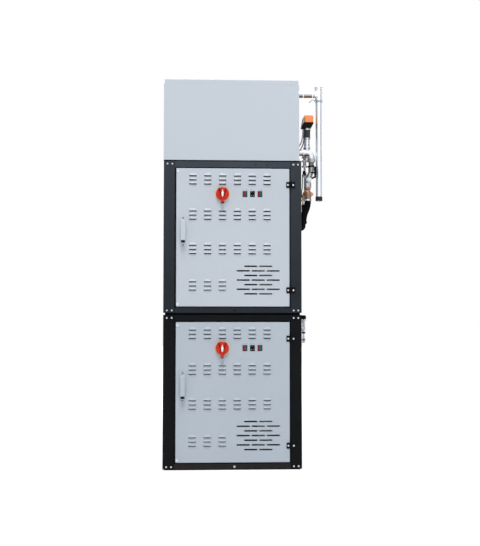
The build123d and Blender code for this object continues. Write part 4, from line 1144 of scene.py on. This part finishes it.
assemble(
    "overflow_swing_bolt", grey_nut_plastic, "boiler",
    (ring, (over_x, pipe_y, clamp_z - 0.0022), up, pipe_r + 0.0012, 0.0022, 0.0004),
    (tube_along, [(over_x + x, pipe_y - 0.003, clamp_z + z) for x, z in bolt_line], 0.0015, 10))
print("arm level:", round(arm_level, 3), "clamp at", round(clamp_z, 3))

# %% [markdown]
# ## Feed line
#
# Water reaches the tank through a thicker elbow. A union nut lets the line be taken
# apart, and a clamp below holds it. Threads are cut into the pipe where it enters a
# fitting. A thread this small reads well as a stack of rings with slanted flanks.

# %% Elbow ribs, union nut and threads
feed_low, feed_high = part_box("feed_pipe")
feed_level = feed_high.z - 0.081
clamp_low, clamp_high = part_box("pipe_clamp")
feed_x = (clamp_low.x + clamp_high.x) / 2
stem_low, stem_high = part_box("motor_nut")
stem_x = (stem_low.x + stem_high.x) / 2
ribs = [(stem_x, pipe_y, feed_level + lift) for lift in (0.03, 0.048, 0.066)]
assemble(
    "feed_ribs", bead_steel, "boiler",
    (ring, (wall_x - 0.0005, pipe_y, feed_level), right, 0.0245, 0.005),
    (ring, (0.3905, pipe_y, feed_level), right, 0.0192, 0.006, 0.0014),
    (ring, (feed_x, pipe_y, feed_low.z + 0.03), up, 0.0195, 0.005, 0.0012),
    (ring, (feed_x, pipe_y, feed_low.z + 0.0215), up, 0.0205, 0.0045, 0.0012),
    *[(ring, at, up, 0.0172, 0.0035, 0.001) for at in ribs])
assemble(
    "union_nut", fitting_nickel, "boiler",
    (hex_nut, (feed_x, pipe_y, feed_low.z + 0.0015), up, 0.0406, 0.0175, 0.2),
    (thread, (feed_x, pipe_y, clamp_high.z + 0.0005), up, 0.015, 0.019),
    (ring, (feed_x, pipe_y, clamp_low.z - 0.02), up, 0.0155, 0.016, 0.0014))
print("feed level:", round(feed_level, 3), "stem at", round(stem_x, 4))

# %% [markdown]
# Two black rings lock the quick coupling below the union. The upper one is a clamp
# whose ears are pulled together by a screw on its left.

# %% Coupling rings and clamp ears
clamp_mid = (clamp_low.z + clamp_high.z) / 2
ear, ear_x = (0.01, 0.004, 0.007), clamp_low.x - 0.003
assemble(
    "coupling_rings", black_plastic, "boiler",
    *[(block, (ear_x, pipe_y + shift, clamp_mid), ear, 0.001) for shift in (-0.0042, 0.0042)],
    (ring, (feed_x, pipe_y, clamp_mid - 0.037), up, 0.0168, 0.006),
    (block, (feed_x - 0.015, pipe_y - 0.004, clamp_mid - 0.018), (0.0035, 0.006, 0.032), 0.001))
screw_at = (clamp_low.x - 0.004, pipe_y - 0.0061, clamp_mid)
assemble("pipe_clamp_screw", zinc, "boiler", (cross_screw, screw_at, fore, 0.003, 0.0022))
print("clamp level:", round(clamp_mid, 3))

# %% [markdown]
# ## Ball valve and check valve
#
# The ball valve is nickelled: hexagon ends take the spanner, and a gland nut seals
# the spindle under the lever. The grip of the lever is dipped in black plastic. The
# raw brass check valve below it has hexagon ends too, and a slanted bonnet with a
# cap, through which its flap can be reached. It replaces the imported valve.

# %% Valve trim
valve_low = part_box("shut_off_valve")[0]
check_low, check_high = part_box("check_valve")
hose_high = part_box("feed_hose")[1]
valve_x = hose_high.x - 0.018
lever_low, lever_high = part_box("valve_lever")
lever_z = lever_low.z + 0.011
assemble(
    "ball_valve_trim", fitting_nickel, "boiler",
    (hex_nut, (valve_x, pipe_y, valve_low.z + 0.0265), up, 0.0318, 0.006, 0.1),
    (ring, (valve_x, lever_high.y + 0.014, lever_z), fore, 0.0105, 0.007),
    (hex_nut, (valve_x, lever_high.y + 0.006, lever_z), fore, 0.0175, 0.005, 0.3))
grip_at = (lever_high.x - 0.005, (lever_low.y + lever_high.y) / 2, lever_high.z - 0.0245)
assemble("lever_grip", black_plastic, "valve_lever", (block, grip_at, (0.013, 0.009, 0.049), 0.003))
lever_tilt = Matrix.Rotation(math.radians(-22), 4, "Y")
spindle = Matrix.Translation((valve_x, lever_low.y - 0.0003, lever_z))
assemble(
    "lever_nut", zinc, "valve_lever",
    (ring, (valve_x, lever_low.y + 0.0002, lever_z), fore, 0.0118, 0.0016, 0.0004),
    (hex_head, (valve_x, lever_low.y - 0.001, lever_z), fore, 0.011, 0.0042, 0.2),
    (block, spindle @ lever_tilt @ Matrix.Translation((0.013, 0, 0)), (0.012, 0.0012, 0.0102), 0.0004))
body_line = [
    (0.011, 0.011), (0.0126, 0.0125), (0.013, 0.0155), (0.0152, 0.019), (0.0174, 0.0245), (0.018, 0.0305),
    (0.017, 0.0365), (0.0142, 0.0415), (0.012, 0.044), (0.0118, 0.0475),
]
neck = [(0.012, 0), (0.012, 0.0185), (0.0144, 0.02), (0.0144, 0.0235)]
crown = [(0.01, 0.0305), (0.0096, 0.0325), (0.006, 0.0338), (0, 0.034)]
slant = Vector((1, 0, -0.9)).normalized()
bonnet = Vector((valve_x, pipe_y, check_low.z + 0.036))
check_body = assemble(
    "check_valve_body", raw_brass, "boiler",
    (spin, (valve_x, pipe_y, check_low.z), up, body_line, 32),
    (hex_nut, (valve_x, pipe_y, check_low.z + 0.0002), up, 0.032, 0.012, 0.2),
    (hex_nut, (valve_x, pipe_y, check_high.z - 0.0115), up, 0.03, 0.0112, 0.2),
    (spin, bonnet, slant, neck, 28),
    (hex_nut, bonnet + slant * 0.024, slant, 0.0264, 0.007, 0.4),
    (spin, bonnet, slant, crown, 28))
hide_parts("check_valve")
print("valve at", round(valve_x, 4), "lever level:", round(lever_z, 4))

# %% [markdown]
# ## Hose clamps
#
# A worm screw in a small housing tightens each hose band. The upper band is bright.
# The lower one sits in the shade behind the frame and is black, so its faces take a
# second finish.

# %% Worm screws
band_z = hose_high.z - 0.01
assemble(
    "hose_band_screw", zinc, "boiler",
    (block, (valve_x - 0.002, pipe_y - 0.0222, band_z), (0.015, 0.005, 0.011), 0.0012),
    (cross_screw, (valve_x - 0.0095, pipe_y - 0.0222, band_z), left, 0.0038, 0.0035))
second_finish("hose_clamps", black_plastic, lambda at, normal: at.z < band_z - 0.05)
print("band level:", round(band_z, 3))

# %% [markdown]
# ## Motor cap and cables
#
# The orange cap of the motor valve has shallow ribs, a grey plate covers its left
# flank, and the dark nut that holds it to the pipe has a rim at both ends.

# %% Cap ribs, flank and nut rims
cap_low, cap_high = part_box("motor_cap")
cap_mid = (cap_low.x + cap_high.x) / 2
rib_y, rib_z = cap_low.y - 0.0004, (cap_low.z + cap_high.z) / 2 - 0.002
assemble(
    "motor_cap_ribs", motor_orange, "boiler",
    *[(block, (cap_mid + x, rib_y, rib_z), (0.0035, 0.002, 0.029), 0.0006) for x in (-0.017, 0.0, 0.017)],
    (ring, (cap_mid, pipe_y, cap_high.z - 0.0002), up, 0.01, 0.0025))
motor_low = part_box("motor_housing")[0]
flank_at = (motor_low.x, motor_low.y - 0.0006, motor_low.z)
flank = [(0.0108, 0.0575), (0.0143, 0.0575), (0.0143, 0.029), (0.009, 0.0215), (0.0028, 0.011)]
assemble("motor_flank", conduit_grey, "boiler", (plaque, flank_at, 0.0008, flank))
assemble(
    "motor_nut_rims", cable_black, "boiler",
    (ring, (stem_x, pipe_y, stem_high.z - 0.004), up, 0.0208, 0.0042),
    (ring, (stem_x, pipe_y, stem_low.z + 0.001), up, 0.0202, 0.003))
print("cap centre:", round(cap_mid, 4), "ribs at", round(rib_z, 4))

# %% [markdown]
# Two thin cables leave the motor housing and lead down to the tank's side, each
# through a black gland. A stiff cable leaves its gland straight and then bends in a
# wide curve, so a smooth curve through a few points gives the right line.

# %% Cables and glands


def smooth_line(points, steps=10):
    """A round curve through all the points given."""
    out = []
    ends = [points[0], *points, points[-1]]
    for a, b, c, d in zip(ends, ends[1:], ends[2:], ends[3:]):
        a, b, c, d = (Vector(p) for p in (a, b, c, d))
        for step in range(steps):
            t = step / steps
            part = b * 2 + (c - a) * t + (a * 2 - b * 5 + c * 4 - d) * t**2
            out.append((part + (b * 3 - a - c * 3 + d) * t**3) / 2)
    out.append(Vector(points[-1]))
    return out


def length_mm(points):
    """Length of a smooth run, in whole millimetres."""
    line = smooth_line(points)
    return round(1000 * sum((b - a).length for a, b in zip(line, line[1:])))


grey_run = [(0.389, 0), (0.3888, -0.018), (0.3865, -0.05), (0.379, -0.082), (0.368, -0.102), (0.359, -0.11)]
black_run = [(0.397, 0), (0.3968, -0.02), (0.394, -0.062), (0.3855, -0.1), (0.372, -0.124), (0.359, -0.133)]
steps, lengths = [], []
for name, finish, radius, y, run in (
    ("grey", conduit_grey, 0.0042, -0.338, grey_run),
    ("black", cable_black, 0.003, -0.345, black_run),
):
    spots = [(x, y, motor_low.z + z) for x, z in run]
    assemble(f"motor_cable_{name}", finish, "boiler", (tube_along, smooth_line(spots), radius))
    steps.append((ring, (spots[0][0], y, motor_low.z - 0.009), up, 0.0055, 0.0095, 0.0012))
    steps.append((ring, (wall_x - 0.0005, y, spots[-1][2]), right, 0.0055, 0.0085, 0.0012))
    lengths.append(length_mm(spots))
assemble("cable_glands", black_plastic, "boiler", *steps)
print("cables:", len(lengths), "lengths in mm:", lengths)

# %% [markdown]
# ## Branch line
#
# Behind the feed pipe a thin branch runs down to the upper cabinet. It has its own
# small cock with a black handle. A thin cable leads from the handle through a gland in
# the cabinet's side.

# %% Cock, handle and cable
branch_low, branch_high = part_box("branch_pipe")
block_low, block_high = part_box("branch_valve")
branch_x = (block_low.x + block_high.x) / 2
branch_y = (branch_low.y + branch_high.y) / 2
branch_level = branch_low.z + 0.009
cock_z = 1.583
cock_line = [
    (0.0062, 0), (0.0085, 0.001), (0.0085, 0.008), (0.011, 0.011), (0.0118, 0.016), (0.011, 0.021),
    (0.0085, 0.024), (0.0085, 0.031), (0.0062, 0.032),
]
assemble(
    "branch_cock", fitting_nickel, "boiler",
    (spin, (branch_x, branch_y, cock_z), up, cock_line),
    (hex_nut, (branch_x, branch_y, cock_z + 0.0005), up, 0.019, 0.007),
    (hex_nut, (branch_x, branch_y, cock_z + 0.0245), up, 0.019, 0.007))
assemble(
    "branch_handle", black_plastic, "boiler",
    (ring, (branch_x, branch_y - 0.01, cock_z + 0.016), fore, 0.006, 0.006),
    (block, (branch_x - 0.006, branch_y - 0.0195, cock_z + 0.023), (0.016, 0.007, 0.02), 0.002))
cock_run = [
    (0.3905, -0.2965, 1.596), (0.3905, -0.2965, 1.58), (0.39, -0.295, 1.55), (0.3888, -0.292, 1.52),
    (0.3855, -0.29, 1.49), (0.378, -0.29, 1.474), (0.366, -0.29, 1.469),
]
assemble(
    "cock_cable", cable_black, "boiler",
    (tube_along, smooth_line(cock_run), 0.0026, 10),
    (ring, (side - 0.0005, *cock_run[-1][1:]), right, 0.0052, 0.007, 0.001))
print("branch level:", round(branch_level, 3), "cable length in mm:", length_mm(cock_run))

# %% [markdown]
# The branch ends in a brass tee with a ribbed drain nipple below. A rubber hose goes
# from the nipple in a wide bend to an opening of its own in the cabinet's side. It is
# bent round a radius of four times its thickness, so it would not kink.

# %% Tee, nipple and drain hose
tee_at = Vector((branch_x, branch_y, branch_level + 0.027))
assemble(
    "branch_tee", raw_brass, "boiler",
    (hex_nut, tee_at + Vector((0, 0, 0.008)), up, 0.02, 0.009, 0.2),
    (ring, tee_at + Vector((0, 0, -0.01)), up, 0.0105, 0.0185, 0.002),
    (hex_nut, tee_at + Vector((0, 0, -0.015)), up, 0.019, 0.0055, 0.5),
    (ring, tee_at + Vector((-0.006, -0.004, 0)), left, 0.0085, 0.009, 0.0016),
    (hex_nut, tee_at + Vector((-0.012, -0.014, -0.016)), up, 0.015, 0.02, 0.1),
    (block, tee_at + Vector((-0.011, -0.008, -0.001)), (0.013, 0.018, 0.012), 0.003))
nipple_line = [
    (0.0062, 0), (0.0062, 0.007), (0.0042, 0.0085), (0.0042, 0.013), (0.006, 0.0145), (0.006, 0.021),
    (0.004, 0.0225), (0.004, 0.027), (0.0054, 0.0285), (0.0054, 0.04), (0.003, 0.0405), (0, 0.038),
]
nipple_at = tee_at + Vector((-0.012, -0.014, -0.015))
assemble("drain_nipple", pale_brass, "boiler", (spin, nipple_at, down, nipple_line, 20))
hose_x, hose_y, hose_top = tee_at.x - 0.011, tee_at.y - 0.014, tee_at.z - 0.053
hose_r, bend_r, bend_end = 0.0085, 0.068, 60
drain_run = [(hose_x, hose_y, hose_top - drop) for drop in (0, 0.02, 0.038)]
for turn in range(10, bend_end + 1, 10):
    angle = math.radians(turn)
    sideways, downwards = bend_r * (1 - math.cos(angle)), bend_r * math.sin(angle)
    drain_run.append((hose_x - sideways, hose_y, hose_top - 0.04 - downwards))
assemble(
    "drain_hose", hose_rubber, "boiler",
    (tube_along, smooth_line(drain_run), hose_r, 16),
    (ring, (side - 0.0005, hose_y, drain_run[-1][2] + 0.003), right, 0.015, 0.004, 0.001))
print("nipple at", round(nipple_at.z, 4), "hose length in mm:", length_mm(drain_run))

# %% [markdown]
# ## Small valve on the lower cabinet
#
# The lower boiler has a sampling valve at the top right: a black hand wheel with
# grips round its rim, a plated body with a black collar, and a brass nut near its
# tail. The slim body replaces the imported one.

# %% Hand wheel and tail
tap_low, tap_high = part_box("side_tap")
wheel_low, wheel_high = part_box("tap_knob")
tap_x = (wheel_low.x + wheel_high.x) / 2
tap_y = (wheel_low.y + wheel_high.y) / 2
arm_z = (tap_low.z + tap_high.z) / 2 + 0.0095
arm_lift, wheel_lift = arm_z - tap_low.z, wheel_low.z - tap_low.z
rim = [(0.008, 0), (0.0118, 0.0015), (0.0118, 0.015), (0.01, 0.018), (0, 0.019)]
steps = [(spin, (tap_x, tap_y, wheel_low.z + 0.001), up, rim, 32)]
for angle in full_turn(8):
    at = (tap_x + 0.0112 * math.cos(angle), tap_y + 0.0112 * math.sin(angle), wheel_low.z + 0.002)
    steps.append((ring, at, up, 0.0024, 0.014, 0.0006))
assemble("tap_hand_wheel", black_plastic, "tap_knob", *steps)
assemble(
    "tap_bonnet_trim", fitting_nickel, "boiler",
    (ring, (tap_x, tap_y, wheel_low.z - 0.007), up, 0.0135, 0.0045, 0.0012),
    (thread, (tap_x, tap_y, wheel_low.z - 0.033), up, 0.007, 0.011),
    (ring, (side, tap_y, arm_z), right, 0.015, 0.004))
tap_line = [
    (0.004, 0.002), (0.005, 0), (0.0078, 0.0012), (0.0078, 0.01), (0.0062, 0.0118),
    (0.0062, arm_lift - 0.024), (0.0084, arm_lift - 0.02), (0.0092, arm_lift - 0.008),
    (0.0092, arm_lift + 0.009), (0.0068, arm_lift + 0.013), (0.0068, wheel_lift - 0.022),
    (0.0045, wheel_lift - 0.008), (0.0045, wheel_lift + 0.002), (0, wheel_lift + 0.002),
]
body = assemble(
    "side_tap_body", zinc, "boiler",
    (spin, (tap_x, tap_y, tap_low.z), up, tap_line, 28),
    (ring, (side - 0.001, tap_y, arm_z), right, 0.008, tap_x - side),
    (hex_nut, (tap_x, tap_y, wheel_low.z - 0.021), up, 0.017, 0.011, 0.3))
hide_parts("side_tap")
collar_at, nut_at = (tap_x, tap_y, tap_low.z + 0.051), (tap_x, tap_y, tap_low.z + 0.013)
assemble("tap_collar", black_plastic, "boiler", (ring, collar_at, up, 0.0098, 0.009, 0.002))
assemble("tap_tail_nut", raw_brass, "boiler", (hex_nut, nut_at, up, 0.018, 0.0095, 0.5))
print("hand wheel at", round(tap_x, 4), round(wheel_low.z, 4))

# %% [markdown]
# ## Sides, back and inside
#
# The side and back panels are held by a row of pan-head screws near each edge.

# %% Panel screws
panel_low, panel_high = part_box("lower_wall_panels")
for unit in units:
    steps = []
    for share in (0.04, 0.35, 0.65, 0.96):
        z = levels[unit] + panel_low.z + (panel_high.z - panel_low.z) * share
        for y in (front + 0.075, back - 0.075):
            steps.append((cross_screw, (panel_high.x, y, z), right, *panel_screw, share * 5))
            steps.append((cross_screw, (panel_low.x, y, z), left, *panel_screw, share * 7))
        for x in (-0.29, 0.29):
            steps.append((cross_screw, (x, panel_high.y, z), aft, *panel_screw, share * 3))
    assemble(f"{unit}_panel_screws", zinc, "boiler", *steps)
print("panel screws:", len(units) * len(steps))

# %% [markdown]
# The doors open, so what stands behind them gets its small parts too. Two steel bands
# hold the insulation cladding of the vessel, its heater flange is bolted all round,
# and each switching block carries its terminals.

# %% Inside the cabinets
vessel_x, vessel_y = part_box("lower_boiler_vessel")[0].x + 0.19, 0.07
flange_y, flange_z, bolt_circle = -0.168, 0.23, 0.082
board_x, board_y = 0.225, -0.182
for unit in units:
    level = levels[unit]
    steps = [(ring, (vessel_x, vessel_y, level + z), up, 0.1912, 0.02, 0.0006) for z in (0.385, 0.485)]
    for angle in full_turn(10):
        x, z = vessel_x + bolt_circle * math.cos(angle), level + flange_z + bolt_circle * math.sin(angle)
        steps.append((hex_head, (x, flange_y, z), fore, 0.01, 0.005, angle))
    assemble(f"{unit}_vessel_bands", zinc, "boiler", *steps)
    steps = []
    for block_z in (0.23, 0.36, 0.49):
        for block_x in (-0.0375, 0.0375):
            for lift in (-0.029, 0.029):
                for shift in (-0.013, 0.0, 0.013):
                    at = (board_x + block_x + shift, board_y, level + block_z + lift)
                    steps.append((cross_screw, at, fore, 0.004, 0.0016, shift * 40))
    assemble(f"{unit}_terminals", raw_brass, "boiler", *steps)
print("vessel centre:", round(vessel_x, 3), "terminals:", len(steps))

# %% [markdown]
# ## Floor, light and backdrop
#
# A product photo for a catalogue is lit from all sides, with a broad soft lamp above
# and in front. The world gives an even grey-white fill. The camera, and anything
# that mirrors, sees a white backdrop instead, so that the fill can stay gentle.

# %% Stage


def backdrop_share(tree):
    """1 where the camera, a mirror or glass looks, 0 where light is gathered."""
    rays = add_node(tree, "LightPath").outputs
    mirrored = combine(tree, "MAXIMUM", rays["Is Camera Ray"], rays["Is Glossy Ray"])
    return combine(tree, "MAXIMUM", mirrored, rays["Is Transmission Ray"])


def four_corners(name, corners, finish):
    """A flat part of the stage, given by its four corners."""
    data = bpy.data.meshes.new(name)
    data.from_pydata(corners, [], [(0, 1, 2, 3)])
    data.materials.append(finish)
    return link_object(name, data)


white = (1.0, 1.0, 1.0, 1.0)
floor_finish, tree, shader = start_finish("floor_finish", (246, 246, 247), 0.9, gloss=0.1)
shader.inputs["Emission Color"].default_value = white
distance = add_node(tree, "VectorMath", None, {0: place_on_piece(tree)}, operation="LENGTH").outputs["Value"]
glow = combine(tree, "MULTIPLY", backdrop_share(tree), ramp(tree, distance, 0.8, 3.6, 0.4, 0.95))
tree.links.new(glow, shader.inputs["Emission Strength"])
floor = four_corners("floor", [(-14, -14, 0), (14, -14, 0), (14, 14, 0), (-14, 14, 0)], floor_finish)

world = bpy.data.worlds.new("studio")
bpy.context.scene.world = world
world.use_nodes = True
tree = world.node_tree
tree.nodes.clear()
fill = add_node(tree, "Background", {"Color": (0.97, 0.985, 1.0, 1.0), "Strength": 0.33})
backdrop = add_node(tree, "Background", {"Color": white, "Strength": 1.0})
wires = {"Fac": backdrop_share(tree), 1: fill.outputs[0], 2: backdrop.outputs[0]}
add_node(tree, "OutputWorld", None, {"Surface": add_node(tree, "MixShader", None, wires).outputs[0]})


def soft_lamp(name, at, aim, size, power):
    """A square lamp that points at aim."""
    data = bpy.data.lights.new(name, "AREA")
    data.shape = "RECTANGLE"
    data.size = data.size_y = size
    data.energy = power
    lamp = link_object(name, data)
    lamp.location = at
    lamp.rotation_euler = (Vector(aim) - Vector(at)).to_track_quat("-Z", "Y").to_euler()
    return lamp


def black_flag(name, at, width, height):
    """A dark card that only mirrors see; it gives bright metal its dark edges."""
    w, h = width / 2, height / 2
    card = four_corners(name, [(-w, 0, -h), (w, 0, -h), (w, 0, h), (-w, 0, h)], plate_paint)
    card.location = at
    card.rotation_euler.z = math.atan2(-at[0], at[1])
    for kind in ("camera", "diffuse", "transmission", "shadow", "volume_scatter"):
        setattr(card, f"visible_{kind}", False)


black_flag("right_flag", (3.4, 3.6, 1.6), 2.2, 4.0)
black_flag("side_flag", (2.6, -0.9, 1.6), 0.9, 3.0)
black_flag("left_flag", (-3.0, 4.4, 1.6), 5.6, 5.0)
soft_lamp("overhead_lamp", (-0.2, -4.6, 9.7), (0, -0.4, 1.2), 4.2, 610)
soft_lamp("front_lamp", (1.8, -5.6, 3.0), (0, -0.4, 1.6), 2.4, 25)
side_lamps = (("left", (-6, 0.8, 3.4), 75), ("right", (6, 0.8, 3.4), 75), ("back", (0, 6.6, 3.6), 100))
for name, at, power in side_lamps:
    soft_lamp(f"{name}_lamp", at, (0, 0, 1.2), 3.0, power).visible_glossy = False
print("stage set")
